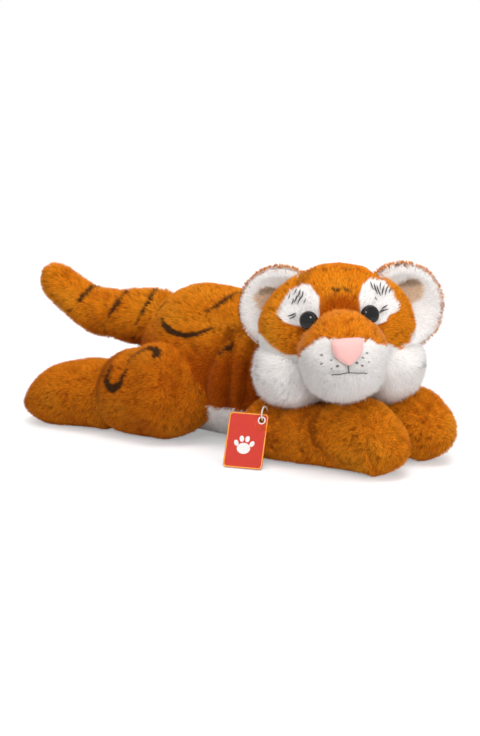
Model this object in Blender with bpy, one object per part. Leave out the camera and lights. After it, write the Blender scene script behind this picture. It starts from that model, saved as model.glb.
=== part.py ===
"""A plush tiger lying on its belly, head turned to its right.

Each sewn and stuffed form is its own solid: torso, belly panel, neck, head, cheeks,
muzzle, ears, legs, paws, feet and tail. The nose, the safety eyes with their washers
and the swing tag on its loop are solids of their own too. Metres, +Z up, +X is the
way the body points and +Y is the tiger's left. The origin is where the belly rests.
"""

import math

import bmesh
import bpy
import numpy as np
from mathutils import Matrix, Vector

# Clearances
SEAM_GAP = 0.0003  # between two pieces that are sewn or seated together
RUNNING_GAP = 0.0005  # between a moving piece and what it is relieved against
FLOOR_CUT = 0.0005  # how deep a form is cut flat where it rests
OVERRUN = 0.02  # how far a cutter runs past what it cuts
RELIEF_PAST = 1.02  # share of its range that a piece is cleared for

# Torso, from the rump forward to the chest
TORSO_LENGTH = 0.186
TORSO_WIDTH = 0.118
TORSO_HEIGHT = 0.133
TORSO_REAR = 0.104  # from the resting point back to the end of the rump
# along, width, height, middle above the floor in half heights
TORSO_SHARES = (
    (0.00, 0.66, 0.86, 1.05),
    (0.28, 0.88, 0.98, 1.03),
    (0.52, 1.00, 1.00, 1.00),
    (0.70, 0.97, 0.97, 0.98),
    (0.86, 0.84, 0.84, 0.90),
    (1.00, 0.64, 0.66, 0.80),
)
TORSO_CAP_SHARES = (0.34, 0.34)
BELLY_HEIGHT = 0.034  # top edge of the white panel above the floor
BELLY_ARCH = 0.012  # how far the panel's edge drops toward the ends

# Neck, a ball on which the head turns and nods
NECK_X = 0.0905
NECK_Y = 0.011
NECK_Z = 0.090
NECK_RADIUS = 0.030
HEAD_YAW_DEG = -51.5
HEAD_ROLL_DEG = 5.3
HEAD_PITCH_DEG = -3
HEAD_LIFT_DEG = 12  # how far the face can be raised, which the torso leaves room for

# Head, in its own frame: forward, the tiger's left, up, from the neck's centre
HEAD_FORWARD = 0.040
HEAD_UP = 0.019
HEAD_DEPTH = 0.096
HEAD_WIDTH = 0.130
HEAD_HEIGHT = 0.112
# along from the back, width, height, middle above the head's centre in half heights
HEAD_SHARES = (
    (0.00, 0.78, 0.82, 0.02),
    (0.45, 1.00, 1.00, 0.00),
    (0.75, 0.98, 0.96, -0.03),
    (1.00, 0.86, 0.80, -0.08),
)
HEAD_CAP_SHARES = (0.46, 0.42)

# Cheeks
CHEEK_FORWARD = -0.001
CHEEK_SIDE = 0.0405
CHEEK_DROP = (0.029, 0.0315)  # right, left
CHEEK_DEPTH = 0.072
CHEEK_WIDTH = 0.063
CHEEK_HEIGHT = 0.060

# Muzzle
MUZZLE_FORWARD = 0.040
MUZZLE_DROP = 0.0145
MUZZLE_DEPTH = 0.078
MUZZLE_WIDTH = 0.072
MUZZLE_HEIGHT = 0.073
# along from inside the head, width, height, middle above the muzzle's centre
MUZZLE_SHARES = (
    (0.00, 0.96, 0.96, 0.06),
    (0.40, 1.00, 1.00, 0.03),
    (0.75, 0.97, 0.94, -0.02),
    (1.00, 0.84, 0.78, -0.06),
)
MUZZLE_CAP_SHARES = (0.30, 0.40)

# Nose, a rounded triangle, point down
NOSE_WIDTH = 0.032
NOSE_HEIGHT = 0.0255
NOSE_ABOVE = 0.0070  # its middle above the muzzle's
NOSE_DEPTH = 0.012
NOSE_PROUD = 0.0045  # how far it stands out of the muzzle

# Safety eyes: dome and post in one, locked by a washer inside the head
EYE_DIAMETER = 0.0150
EYE_DOME = 0.0062
EYE_SIDE = 0.0250
EYE_ABOVE = 0.0155
EYE_SEAT = 0.0022  # how deep the flange sits in the plush
POST_DIAMETER = 0.0044
POST_LENGTH = 0.0160
WASHER_DIAMETER = 0.0130
WASHER_THICKNESS = 0.0020
WASHER_DEPTH = 0.0080  # under the flange

# Ears
EAR_DIAMETER = 0.076
EAR_THICKNESS = 0.0145
EAR_SIDE = (0.0435, 0.0560)  # right, left
EAR_ABOVE = (0.0210, 0.0130)
EAR_BEHIND = 0.0030
EAR_TURN_DEG = 12  # how far the ear's open side turns out
EAR_MIDDLE_DEG = 17  # of the ear's own middle line above the horizontal
EAR_DISH_DIAMETER = 0.060
EAR_DISH_DEPTH = 0.0066
EAR_HOLLOW_DIAMETER = 0.049
EAR_HOLLOW_DEPTH = 0.0032

# Front legs
SHOULDER_X = (0.050, 0.059)  # right, left
SHOULDER_Y = (0.038, 0.0335)
ARM_LENGTH = 0.108
ARM_WIDTH = 0.059
ARM_HEIGHT = 0.072
ARM_REAR = 0.010  # from the shoulder's axis back to the form's end
ARM_OUT = 0.006  # from the shoulder's axis out to the form's middle line
# along, width, height, middle above the floor in half heights, outward in half widths
ARM_SHARES = (
    (0.00, 0.94, 0.76, 1.06, 0.10),
    (0.20, 1.00, 0.67, 1.00, 0.14),
    (0.40, 0.98, 0.61, 1.00, 0.10),
    (0.75, 0.92, 0.60, 1.00, 0.02),
    (1.00, 0.84, 0.62, 1.00, 0.00),
)
ARM_CAP_SHARES = (0.22, 0.16)
ARM_YAW_DEG = (-1.0, -9.0)  # outward is positive; right, left
ARM_SPLAY_DEG = (0, 14)

# Paws
PAW_LENGTH = 0.074
PAW_WIDTH = 0.060
PAW_HEIGHT = 0.062
PAW_OVERLAP = 0.024  # how far the form reaches back over the leg's end
PAW_SHARES = (
    (0.00, 0.96, 0.90, 1.00, 0.00),
    (0.40, 0.96, 0.90, 1.00, 0.00),
    (0.72, 1.00, 1.00, 1.00, 0.00),
    (1.00, 0.88, 0.86, 0.98, 0.00),
)
PAW_CAP_SHARES = (0.39, 0.42)

# Thighs
HIP_X = -0.014
HIP_Y = 0.037
THIGH_LENGTH = 0.120
THIGH_WIDTH = 0.076
THIGH_HEIGHT = 0.083
THIGH_FRONT = 0.018  # from the hip's axis forward to the form's end
THIGH_OUT = 0.007
THIGH_SHARES = (
    (0.00, 0.86, 0.84, 1.00, 0.00),
    (0.35, 1.00, 1.00, 1.00, 0.02),
    (0.68, 0.92, 0.94, 1.00, 0.04),
    (1.00, 0.92, 0.94, 1.00, 0.04),
)
THIGH_CAP_SHARES = (0.40, 0.29)
THIGH_YAW_DEG = (5, 20)  # outward is positive; right, left
THIGH_SPLAY_DEG = (0, 14)

# Hind feet
FOOT_LENGTH = 0.108
FOOT_WIDTH = 0.060
FOOT_HEIGHT = 0.067
FOOT_OVERLAP = 0.026
FOOT_SHARES = (
    (0.00, 1.00, 1.00, 1.00, 0.00),
    (0.35, 1.00, 1.00, 1.00, 0.02),
    (0.70, 0.98, 0.92, 1.00, 0.04),
    (1.00, 0.88, 0.72, 0.98, 0.04),
)
FOOT_CAP_SHARES = (0.16, 0.36)

# Tail
TAIL_X = -0.070
TAIL_Z = 0.096
TAIL_ROOT_LENGTH = 0.080
TAIL_ROOT_DIAMETER = 0.051
TAIL_TIP_LENGTH = 0.083
TAIL_TIP_DIAMETER = 0.041
TAIL_TIP_OVERLAP = 0.018
TAIL_RISE = 0.035  # of the tip over the root
TAIL_CURL = 0.016  # of the tip toward the tiger's right
# along, thickness, height of the middle in rises, side in curls
TAIL_ROOT_SHARES = (
    (0.00, 1.00, 0.12, 0.00),
    (0.40, 0.98, 0.03, 0.04),
    (0.70, 0.92, 0.00, 0.11),
    (1.00, 0.92, -0.02, 0.18),
)
TAIL_TIP_SHARES = (
    (0.00, 1.00, -0.06, 0.12),
    (0.35, 0.95, 0.10, 0.34),
    (0.70, 0.84, 0.56, 0.68),
    (1.00, 0.76, 1.10, 1.00),
)
TAIL_ROOT_CAP_SHARES = (0.20, 0.293)
TAIL_TIP_CAP_SHARES = (0.16, 0.20)
TAIL_SWING_DEG = (-12, 12)

# Swing tag and its loop
TAG_WIDTH = 0.034
TAG_HEIGHT = 0.0465
TAG_THICKNESS = 0.0008
TAG_CORNER = 0.0030
TAG_HOLE_DIAMETER = 0.0042
TAG_HOLE_INSET = 0.0055  # of the hole from the card's top and side edges
TAG_X = 0.0690
TAG_Y = 0.0920  # out from the middle plane, at the card's foot
TAG_YAW_DEG = 17
TAG_LEAN_DEG = 24
LOOP_DIAMETER = 0.0013
LOOP_HEIGHT = 0.0128
LOOP_WIDTH = 0.0160
LOOP_BEHIND = 0.0050  # from the card back to the loop's middle

# Facets
TORSO_SIDES, TORSO_RINGS = 24, 16
HEAD_SIDES, HEAD_RINGS = 20, 14
LIMB_SIDES, LIMB_RINGS = 16, 12
SMALL_SIDES, SMALL_RINGS = 14, 10
ROUND_SIDES = 18
CORNER_STEPS = 3

ORANGE = (0.60, 0.22, 0.03)
WHITE = (0.86, 0.84, 0.82)
PINK = (0.95, 0.50, 0.46)
BLACK = (0.012, 0.011, 0.012)
RED = (0.84, 0.08, 0.04)


def clear_scene():
    for obj in list(bpy.data.objects):
        bpy.data.objects.remove(obj, do_unlink=True)


def material(name, colour, roughness, metallic=0.0):
    made = bpy.data.materials.get(name) or bpy.data.materials.new(name)
    made.use_nodes = True
    shader = made.node_tree.nodes["Principled BSDF"]
    shader.inputs["Base Color"].default_value = (*colour, 1)
    shader.inputs["Roughness"].default_value = roughness
    shader.inputs["Metallic"].default_value = metallic
    return made


def plush(name, colour):
    return material(name, colour, 0.95)


def empty(name, matrix, parent=None):
    made = bpy.data.objects.new(name, None)
    bpy.context.scene.collection.objects.link(made)
    made.parent = parent
    made.matrix_world = matrix
    return made


def object_of(name, bm, finish=None, parent=None, matrix=None):
    """An object from world-space geometry, with its origin on the parent's axis."""
    bmesh.ops.recalc_face_normals(bm, faces=bm.faces)
    mesh = bpy.data.meshes.new(name)
    place = matrix or (parent.matrix_world if parent else Matrix.Identity(4))
    bm.transform(place.inverted())
    bm.to_mesh(mesh)
    bm.free()
    if finish:
        mesh.materials.append(finish)
    mesh.shade_smooth()
    mesh.set_sharp_from_angle(angle=math.radians(40))
    made = bpy.data.objects.new(name, mesh)
    bpy.context.scene.collection.objects.link(made)
    made.parent = parent
    made.matrix_world = place
    return made


def guide(name, bm, parent=None):
    """A cutter: it shapes others and isn't part of the toy."""
    made = object_of(name, bm, parent=parent)
    made.hide_render = True
    made.display_type = "WIRE"
    return made


def cut(target, cutters, operation="DIFFERENCE"):
    for cutter in cutters:
        modifier = target.modifiers.new(cutter.name, "BOOLEAN")
        modifier.operation = operation
        modifier.solver = "EXACT"
        modifier.object = cutter


def curve_through(points, at):
    """A smooth curve through evenly numbered points, read at places from 0 to 1."""
    points = np.asarray(points, float)
    last = len(points) - 1
    ends = np.vstack([2 * points[0] - points[1], points, 2 * points[-1] - points[-2]])
    found = []
    for place in at:
        i = min(int(place * last), last - 1)
        u = place * last - i
        a, b, c, d = ends[i : i + 4]
        found.append(
            0.5 * (2 * b + (c - a) * u + (2 * a - 5 * b + 4 * c - d) * u**2
                   + (3 * b - a - 3 * c + d) * u**3)
        )
    return np.array(found)


def rounding(place, caps):
    """How full a form is at a place along it: it closes in a round cap at each end."""
    full = 1.0
    if place < caps[0]:
        full = math.sqrt(max(0.0, 1 - (1 - place / caps[0]) ** 2))
    if 1 - place < caps[1]:
        full = min(full, math.sqrt(max(0.0, 1 - (1 - (1 - place) / caps[1]) ** 2)))
    return full


def stuffed(stations, caps, sides, rings, grow=0.0):
    """A stuffed form. Each station is a centre, a half width and a half height; grow
    makes the form that much larger all round."""
    shares = [s[0] for s in stations]
    rows = [[*s[1], s[2], s[3]] for s in stations]
    steps = [0.5 - 0.5 * math.cos(math.pi * i / rings) for i in range(rings + 1)]
    even = [np.interp(p, shares, np.linspace(0, 1, len(shares))) for p in steps]
    read = curve_through(rows, even)
    centres = read[:, :3]
    tangents = np.gradient(centres, axis=0)
    tangents /= np.linalg.norm(tangents, axis=1)[:, None]
    centres[0] -= tangents[0] * grow
    centres[-1] += tangents[-1] * grow
    bm = bmesh.new()
    loops = []
    for i in range(1, rings):
        ahead = Vector(tangents[i])
        side = Vector((0, 0, 1)).cross(ahead).normalized()
        up = ahead.cross(side)
        full = rounding(steps[i], caps)
        half_width, half_height = read[i, 3] * full + grow, read[i, 4] * full + grow
        loops.append(
            [
                bm.verts.new(
                    Vector(centres[i])
                    + side * half_width * math.cos(2 * math.pi * j / sides)
                    + up * half_height * math.sin(2 * math.pi * j / sides)
                )
                for j in range(sides)
            ]
        )
    for near, far in zip(loops, loops[1:]):
        for j in range(sides):
            k = (j + 1) % sides
            bm.faces.new((near[j], near[k], far[k], far[j]))
    for loop, centre in ((loops[0], centres[0]), (loops[-1], centres[-1])):
        pole = bm.verts.new(Vector(centre))
        for j in range(sides):
            bm.faces.new((loop[j], loop[(j + 1) % sides], pole))
    return bm


def ellipsoid(centre, depth, width, height, sides, rings, grow=0.0):
    """A round form whose rings run along X."""
    ahead = Vector((depth / 2, 0, 0))
    stations = [
        (0.0, centre - ahead, width / 2, height / 2),
        (0.5, centre, width / 2, height / 2),
        (1.0, centre + ahead, width / 2, height / 2),
    ]
    return stuffed(stations, (0.5, 0.5), sides, rings, grow)


def socket(name, centre, width, height, sides=LIMB_SIDES, rings=LIMB_RINGS):
    """A cutter that a round end turns in: its flats keep clear of the end's corners."""
    clear = 1 / (math.cos(math.pi / sides) * math.cos(math.pi / (2 * rings)))
    wide, tall = width * clear, height * clear
    return guide(name, ellipsoid(centre, wide, wide, tall, sides, rings, RUNNING_GAP))


def cylinder(radius, low, high, sides=ROUND_SIDES):
    """An upright cylinder between two heights."""
    bm = bmesh.new()
    bmesh.ops.create_cone(
        bm, cap_ends=True, segments=sides, radius1=radius, radius2=radius,
        depth=high - low, matrix=Matrix.Translation((0, 0, (low + high) / 2)),
    )
    return bm


def turned(profile, sides=ROUND_SIDES):
    """A solid turned about Z from (radius, height) points, first and last on the axis."""
    bm = bmesh.new()
    verts = [bm.verts.new((r, 0, z)) for r, z in profile]
    edges = [bm.edges.new(pair) for pair in zip(verts, verts[1:])]
    bmesh.ops.spin(
        bm, geom=verts + edges, cent=(0, 0, 0), axis=(0, 0, 1), steps=sides,
        angle=2 * math.pi, use_merge=True, use_duplicate=False,
    )
    bmesh.ops.remove_doubles(bm, verts=bm.verts, dist=SEAM_GAP / 10)
    return bm


def moved(bm, matrix):
    bm.transform(matrix)
    return bm


def about(point, axis, degrees):
    """A turn about an axis through a point."""
    point = Vector(point)
    return (
        Matrix.Translation(point)
        @ Matrix.Rotation(math.radians(degrees), 4, axis)
        @ Matrix.Translation(-point)
    )


def floor_cutter():
    """What lies below the surface that the toy rests on."""
    bm = bmesh.new()
    wide = 2 * (TORSO_LENGTH + ARM_LENGTH + FOOT_LENGTH)
    bmesh.ops.create_cube(bm, size=1)
    bm.transform(Matrix.Diagonal((wide, wide, OVERRUN, 1)))
    bm.transform(Matrix.Translation((0, 0, -OVERRUN / 2)))
    return guide("floor_cutter", bm)


# Torso and belly


def torso_form(grow=0.0):
    half = TORSO_HEIGHT / 2
    stations = [
        (
            along,
            Vector((along * TORSO_LENGTH - TORSO_REAR, 0, middle * half - FLOOR_CUT)),
            width * TORSO_WIDTH / 2,
            height * half,
        )
        for along, width, height, middle in TORSO_SHARES
    ]
    return stuffed(stations, TORSO_CAP_SHARES, TORSO_SIDES, TORSO_RINGS, grow)


def belly_region(gap):
    """The space under the belly panel's upper edge, arched from end to end."""
    bm = bmesh.new()
    steps = LIMB_RINGS
    long = TORSO_LENGTH / 2 + OVERRUN
    middle = TORSO_LENGTH / 2 - TORSO_REAR
    top, bottom = [], []
    for i in range(steps + 1):
        share = 2 * i / steps - 1
        z = BELLY_HEIGHT - BELLY_ARCH * share**2 - gap
        for side in (-1, 1):
            x, y = middle + share * long, side * (TORSO_WIDTH / 2 + OVERRUN)
            top.append(bm.verts.new((x, y, z)))
            bottom.append(bm.verts.new((x, y, -OVERRUN)))
    for i in range(0, 2 * steps, 2):
        bm.faces.new((top[i], top[i + 1], top[i + 3], top[i + 2]))
        bm.faces.new((bottom[i], bottom[i + 2], bottom[i + 3], bottom[i + 1]))
        bm.faces.new((top[i], top[i + 2], bottom[i + 2], bottom[i]))
        bm.faces.new((top[i + 1], bottom[i + 1], bottom[i + 3], top[i + 3]))
    bm.faces.new((top[0], bottom[0], bottom[1], top[1]))
    bm.faces.new((top[-2], top[-1], bottom[-1], bottom[-2]))
    return bm


def make_torso(floor, neck_pocket):
    torso = object_of("torso", torso_form(), plush("orange_plush", ORANGE))
    cut(torso, [guide("belly_cutter", belly_region(0.0)), neck_pocket])
    belly = object_of("belly_panel", torso_form(), plush("white_plush", WHITE))
    cut(belly, [floor])
    cut(belly, [guide("belly_keeper", belly_region(SEAM_GAP))], "INTERSECT")
    return torso


# Neck and head

NECK_CENTRE = Vector((NECK_X, NECK_Y, NECK_Z))
HEAD_FRAME = (
    Matrix.Translation(NECK_CENTRE)
    @ Matrix.Rotation(math.radians(HEAD_YAW_DEG), 4, "Z")
    @ Matrix.Rotation(math.radians(HEAD_ROLL_DEG), 4, "X")
    @ Matrix.Rotation(math.radians(HEAD_PITCH_DEG), 4, "Y")
)
HEAD_CENTRE = Vector((HEAD_FORWARD, 0, HEAD_UP))
MUZZLE_CENTRE = HEAD_CENTRE + Vector((MUZZLE_FORWARD, 0, -MUZZLE_DROP))
NOD_AXIS = Matrix.Rotation(math.radians(HEAD_YAW_DEG), 3, "Z") @ Vector((0, 1, 0))


def neck_ball():
    """Turned half a facet each way, so that its corners meet the socket's flats."""
    size = 2 * NECK_RADIUS
    bm = ellipsoid(NECK_CENTRE, size, size, size, SMALL_SIDES, SMALL_RINGS)
    moved(bm, about(NECK_CENTRE, "X", 180 / SMALL_SIDES))
    return moved(bm, about(NECK_CENTRE, "Z", 90 / SMALL_RINGS))


def head_form(grow=0.0):
    stations = [
        (
            along,
            HEAD_CENTRE
            + Vector(((along - 0.5) * HEAD_DEPTH, 0, middle * HEAD_HEIGHT / 2)),
            width * HEAD_WIDTH / 2,
            height * HEAD_HEIGHT / 2,
        )
        for along, width, height, middle in HEAD_SHARES
    ]
    bm = stuffed(stations, HEAD_CAP_SHARES, HEAD_SIDES, HEAD_RINGS, grow)
    return moved(bm, HEAD_FRAME)


def cheek_form(side, grow=0.0):
    drop = CHEEK_DROP[0] if side < 0 else CHEEK_DROP[1]
    centre = HEAD_CENTRE + Vector((CHEEK_FORWARD, side * CHEEK_SIDE, -drop))
    bm = ellipsoid(
        centre, CHEEK_DEPTH, CHEEK_WIDTH, CHEEK_HEIGHT, SMALL_SIDES, SMALL_RINGS, grow
    )
    return moved(bm, HEAD_FRAME)


def muzzle_form(grow=0.0):
    stations = [
        (
            along,
            MUZZLE_CENTRE
            + Vector(((along - 0.5) * MUZZLE_DEPTH, 0, middle * MUZZLE_HEIGHT / 2)),
            width * MUZZLE_WIDTH / 2,
            height * MUZZLE_HEIGHT / 2,
        )
        for along, width, height, middle in MUZZLE_SHARES
    ]
    bm = stuffed(stations, MUZZLE_CAP_SHARES, LIMB_SIDES, LIMB_RINGS, grow)
    return moved(bm, HEAD_FRAME)


def nose_form():
    """A rounded triangle that swells toward the front, its point down."""
    bm = bmesh.new()
    front = MUZZLE_DEPTH / 2 + NOSE_PROUD
    rings = ((0.0, 0.0), (0.06, 0.45), (0.22, 0.75), (0.50, 0.94), (1.0, 1.0))
    loops = []
    for back_share, size_share in rings:
        loop = []
        for j in range(ROUND_SIDES):
            a = 2 * math.pi * j / ROUND_SIDES
            narrow = 0.5 + 0.5 * math.sin(a)
            y = math.cos(a) * (0.36 + 0.64 * narrow) * NOSE_WIDTH / 2
            z = math.sin(a) * NOSE_HEIGHT / 2
            loop.append((y * size_share, z * size_share))
        x = front - back_share * NOSE_DEPTH
        if size_share == 0.0:
            pole = bm.verts.new((x, 0, 0))
        else:
            loops.append([bm.verts.new((x, y, z)) for y, z in loop])
    for near, far in zip(loops, loops[1:]):
        for j in range(ROUND_SIDES):
            k = (j + 1) % ROUND_SIDES
            bm.faces.new((near[j], near[k], far[k], far[j]))
    for j in range(ROUND_SIDES):
        bm.faces.new((loops[0][j], loops[0][(j + 1) % ROUND_SIDES], pole))
    bm.faces.new(loops[-1])
    place = Matrix.Translation(MUZZLE_CENTRE + Vector((0, 0, NOSE_ABOVE)))
    return moved(bm, HEAD_FRAME @ place)


def eye_frame(side):
    """Where an eye sits: +Z points out of the plush."""
    y, z = side * EYE_SIDE, EYE_ABOVE
    half = Vector((HEAD_DEPTH, HEAD_WIDTH, HEAD_HEIGHT)) / 2
    x = half.x * math.sqrt(1 - (y / half.y) ** 2 - (z / half.z) ** 2)
    out = Vector((x / half.x**2, y / half.y**2, z / half.z**2)).normalized()
    turn = out.to_track_quat("Z", "Y").to_matrix().to_4x4()
    return HEAD_FRAME @ Matrix.Translation(HEAD_CENTRE + Vector((x, y, z))) @ turn


def eye_form(grow=0.0, pocket=False):
    """Dome, flange and post in one. As a pocket it keeps clear all round."""
    radius = EYE_DIAMETER / 2 + grow
    top, steps = EYE_DOME - EYE_SEAT, SMALL_RINGS // 2
    dome = [
        (radius * math.cos(a), top * math.sin(a))
        for a in (i * math.pi / 2 / steps for i in range(steps + 1))
    ]
    dome[-1] = (0.0, top + grow)
    foot = -EYE_SEAT - grow
    post, end = POST_DIAMETER / 2 + grow, -EYE_SEAT - POST_LENGTH - grow
    profile = [(0.0, end), (post, end), (post, foot), (radius, foot)]
    if pocket:
        washer, low = WASHER_DIAMETER / 2 + grow, -EYE_SEAT - WASHER_DEPTH - grow
        high = low + WASHER_THICKNESS + 2 * grow
        profile[2:2] = [(post, low), (washer, low), (washer, high), (post, high)]
        profile += [(radius, OVERRUN), (0.0, OVERRUN)]
    else:
        profile += dome
    return turned(profile)


def make_eye(side, name):
    frame = eye_frame(side)
    made = object_of(
        "eye_" + name, moved(eye_form(), frame), material("eye_black", BLACK, 0.05)
    )
    low = -EYE_SEAT - WASHER_DEPTH
    outer = cylinder(WASHER_DIAMETER / 2, low, low + WASHER_THICKNESS)
    washer = object_of(
        "eye_washer_" + name, moved(outer, frame), material("washer", WHITE, 0.4)
    )
    bore = cylinder(POST_DIAMETER / 2 + SEAM_GAP, low - OVERRUN, OVERRUN)
    cut(washer, [guide("washer_bore_" + name, moved(bore, frame))])
    pocket = guide("eye_pocket_" + name, moved(eye_form(SEAM_GAP, True), frame))
    return made, pocket


def ear_frame(side):
    """The ear's own frame: X out of its open side, Z along its middle line, away
    from the head, Y along the line where it hinges."""
    reach, above = (EAR_SIDE[0], EAR_ABOVE[0]) if side < 0 else (EAR_SIDE[1], EAR_ABOVE[1])
    place = HEAD_CENTRE + Vector((-EAR_BEHIND, side * reach, above))
    lean = math.radians(90 - EAR_MIDDLE_DEG) * -side
    return (
        HEAD_FRAME
        @ Matrix.Translation(place)
        @ Matrix.Rotation(math.radians(EAR_TURN_DEG) * side, 4, "Z")
        @ Matrix.Rotation(lean, 4, "X")
    )


def ear_form(side, grow=0.0):
    size = EAR_DIAMETER
    bm = ellipsoid(
        Vector(), EAR_THICKNESS, size, size, SMALL_SIDES, SMALL_RINGS, grow
    )
    return moved(bm, ear_frame(side))


def ear_dish(side, size, depth, grow=0.0):
    """A round hollow in the ear's open side."""
    front = Vector((EAR_THICKNESS / 2, 0, 0))
    bm = ellipsoid(front, depth * 2, size, size, SMALL_SIDES, SMALL_RINGS, grow)
    return moved(bm, ear_frame(side))


def make_ear(side, name, guards):
    frame = ear_frame(side)
    ear = object_of("ear_" + name, ear_form(side), plush("orange_plush", ORANGE),
                    matrix=frame)
    dish = guide("ear_dish_" + name, ear_dish(side, EAR_DISH_DIAMETER, EAR_DISH_DEPTH))
    cut(ear, [*guards, dish])
    lining = object_of(
        "ear_lining_" + name,
        ear_dish(side, EAR_DISH_DIAMETER, EAR_DISH_DEPTH, -SEAM_GAP),
        plush("white_plush", WHITE),
        matrix=frame,
    )
    cut(lining, guards)
    cut(lining, [guide("ear_keeper_" + name, ear_form(side))], "INTERSECT")
    hollow = ear_dish(side, EAR_HOLLOW_DIAMETER, EAR_HOLLOW_DEPTH)
    cut(lining, [guide("ear_hollow_" + name, hollow)])


def make_head(torso_guards):
    orange, white = plush("orange_plush", ORANGE), plush("white_plush", WHITE)
    neck = object_of("neck", neck_ball(), orange)
    size = 2 * NECK_RADIUS
    pocket = socket("neck_socket", NECK_CENTRE, size, size, SMALL_SIDES, SMALL_RINGS)
    head = object_of("head", head_form(), orange)
    cut(head, [pocket, *torso_guards])
    head_guard = guide("head_guard", head_form(SEAM_GAP))
    cheeks = []
    for side, name in ((1, "l"), (-1, "r")):
        cheek = object_of("cheek_" + name, cheek_form(side), white)
        cut(cheek, [*torso_guards, head_guard, pocket])
        cheeks.append(guide("cheek_guard_" + name, cheek_form(side, SEAM_GAP)))
    muzzle = object_of("muzzle", muzzle_form(), white)
    cut(muzzle, [head_guard, *cheeks])
    nose = object_of("nose", nose_form(), material("pink_velvet", PINK, 0.8))
    cut(nose, [guide("muzzle_guard", muzzle_form(SEAM_GAP)), head_guard])
    for side, name in ((1, "l"), (-1, "r")):
        _, eye_pocket = make_eye(side, name)
        cut(head, [eye_pocket])
        cut(muzzle, [eye_pocket])
        make_ear(side, name, [head_guard, bpy.data.objects["cheek_guard_" + name]])
    return pocket


# Limbs


def limb_stations(shares, length, width, height, start):
    """Stations in the limb's own frame: X along it, Y outward, Z above the floor."""
    return [
        (
            along,
            Vector((start + along * length, out * width / 2, mid * tall * height / 2)),
            wide * width / 2,
            tall * height / 2,
        )
        for along, wide, tall, mid, out in shares
    ]


def limb_form(stations, caps, frame, side, grow=0.0):
    """A limb in the world. side is -1 for the right, whose outward is -Y."""
    bm = stuffed(stations, caps, LIMB_SIDES, LIMB_RINGS, grow)
    flip = Matrix.Diagonal((1, side, 1, 1))
    return moved(bm, frame @ flip)


def shoulder_frame(side):
    yaw = ARM_YAW_DEG[0] if side < 0 else ARM_YAW_DEG[1]
    right = side < 0
    ahead = SHOULDER_X[0] if right else SHOULDER_X[1]
    out = SHOULDER_Y[0] if right else SHOULDER_Y[1]
    place = Matrix.Translation((ahead, side * out, -FLOOR_CUT))
    return place @ Matrix.Rotation(math.radians(yaw) * side, 4, "Z")


def arm_form(side, grow=0.0):
    stations = limb_stations(ARM_SHARES, ARM_LENGTH, ARM_WIDTH, ARM_HEIGHT, -ARM_REAR)
    frame = shoulder_frame(side) @ Matrix.Translation((0, side * ARM_OUT, 0))
    return limb_form(stations, ARM_CAP_SHARES, frame, side, grow)


def wrist_frame(side):
    """At the middle of the paw's round rear end, which turns in the leg's end."""
    ahead = ARM_LENGTH - ARM_REAR - PAW_OVERLAP + PAW_CAP_SHARES[0] * PAW_LENGTH
    return shoulder_frame(side) @ Matrix.Translation((ahead, side * ARM_OUT, 0))


def paw_form(side, grow=0.0):
    start = -PAW_CAP_SHARES[0] * PAW_LENGTH
    stations = limb_stations(PAW_SHARES, PAW_LENGTH, PAW_WIDTH, PAW_HEIGHT, start)
    return limb_form(stations, PAW_CAP_SHARES, wrist_frame(side), side, grow)


def hip_frame(side):
    yaw = THIGH_YAW_DEG[0] if side < 0 else THIGH_YAW_DEG[1]
    place = Matrix.Translation((HIP_X, side * HIP_Y, -FLOOR_CUT))
    turn = Matrix.Rotation(math.radians(180 - yaw * side), 4, "Z")
    return place @ turn


def thigh_form(side, grow=0.0):
    stations = limb_stations(
        THIGH_SHARES, THIGH_LENGTH, THIGH_WIDTH, THIGH_HEIGHT, -THIGH_FRONT
    )
    frame = hip_frame(side) @ Matrix.Translation((0, -side * THIGH_OUT, 0))
    return limb_form(stations, THIGH_CAP_SHARES, frame, -side, grow)


def knee_frame(side):
    back = THIGH_LENGTH - THIGH_FRONT - THIGH_CAP_SHARES[1] * THIGH_LENGTH
    out = THIGH_OUT + THIGH_SHARES[-1][4] * THIGH_WIDTH / 2
    return hip_frame(side) @ Matrix.Translation((back, -side * out, 0))


def foot_form(side, grow=0.0):
    start = THIGH_CAP_SHARES[1] * THIGH_LENGTH - FOOT_OVERLAP
    stations = limb_stations(FOOT_SHARES, FOOT_LENGTH, FOOT_WIDTH, FOOT_HEIGHT, start)
    return limb_form(stations, FOOT_CAP_SHARES, knee_frame(side), -side, grow)


def relief_cutters(name, form, point, axis, degrees):
    """The larger form as the moving piece meets it, just past its limits and at rest."""
    past = [d * RELIEF_PAST for d in degrees if d]
    return [
        guide(f"{name}_{number}", moved(form(SEAM_GAP if not d else RUNNING_GAP),
                                        about(point, axis, -d)))
        for number, d in enumerate((*past, 0.0))
    ]


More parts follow.
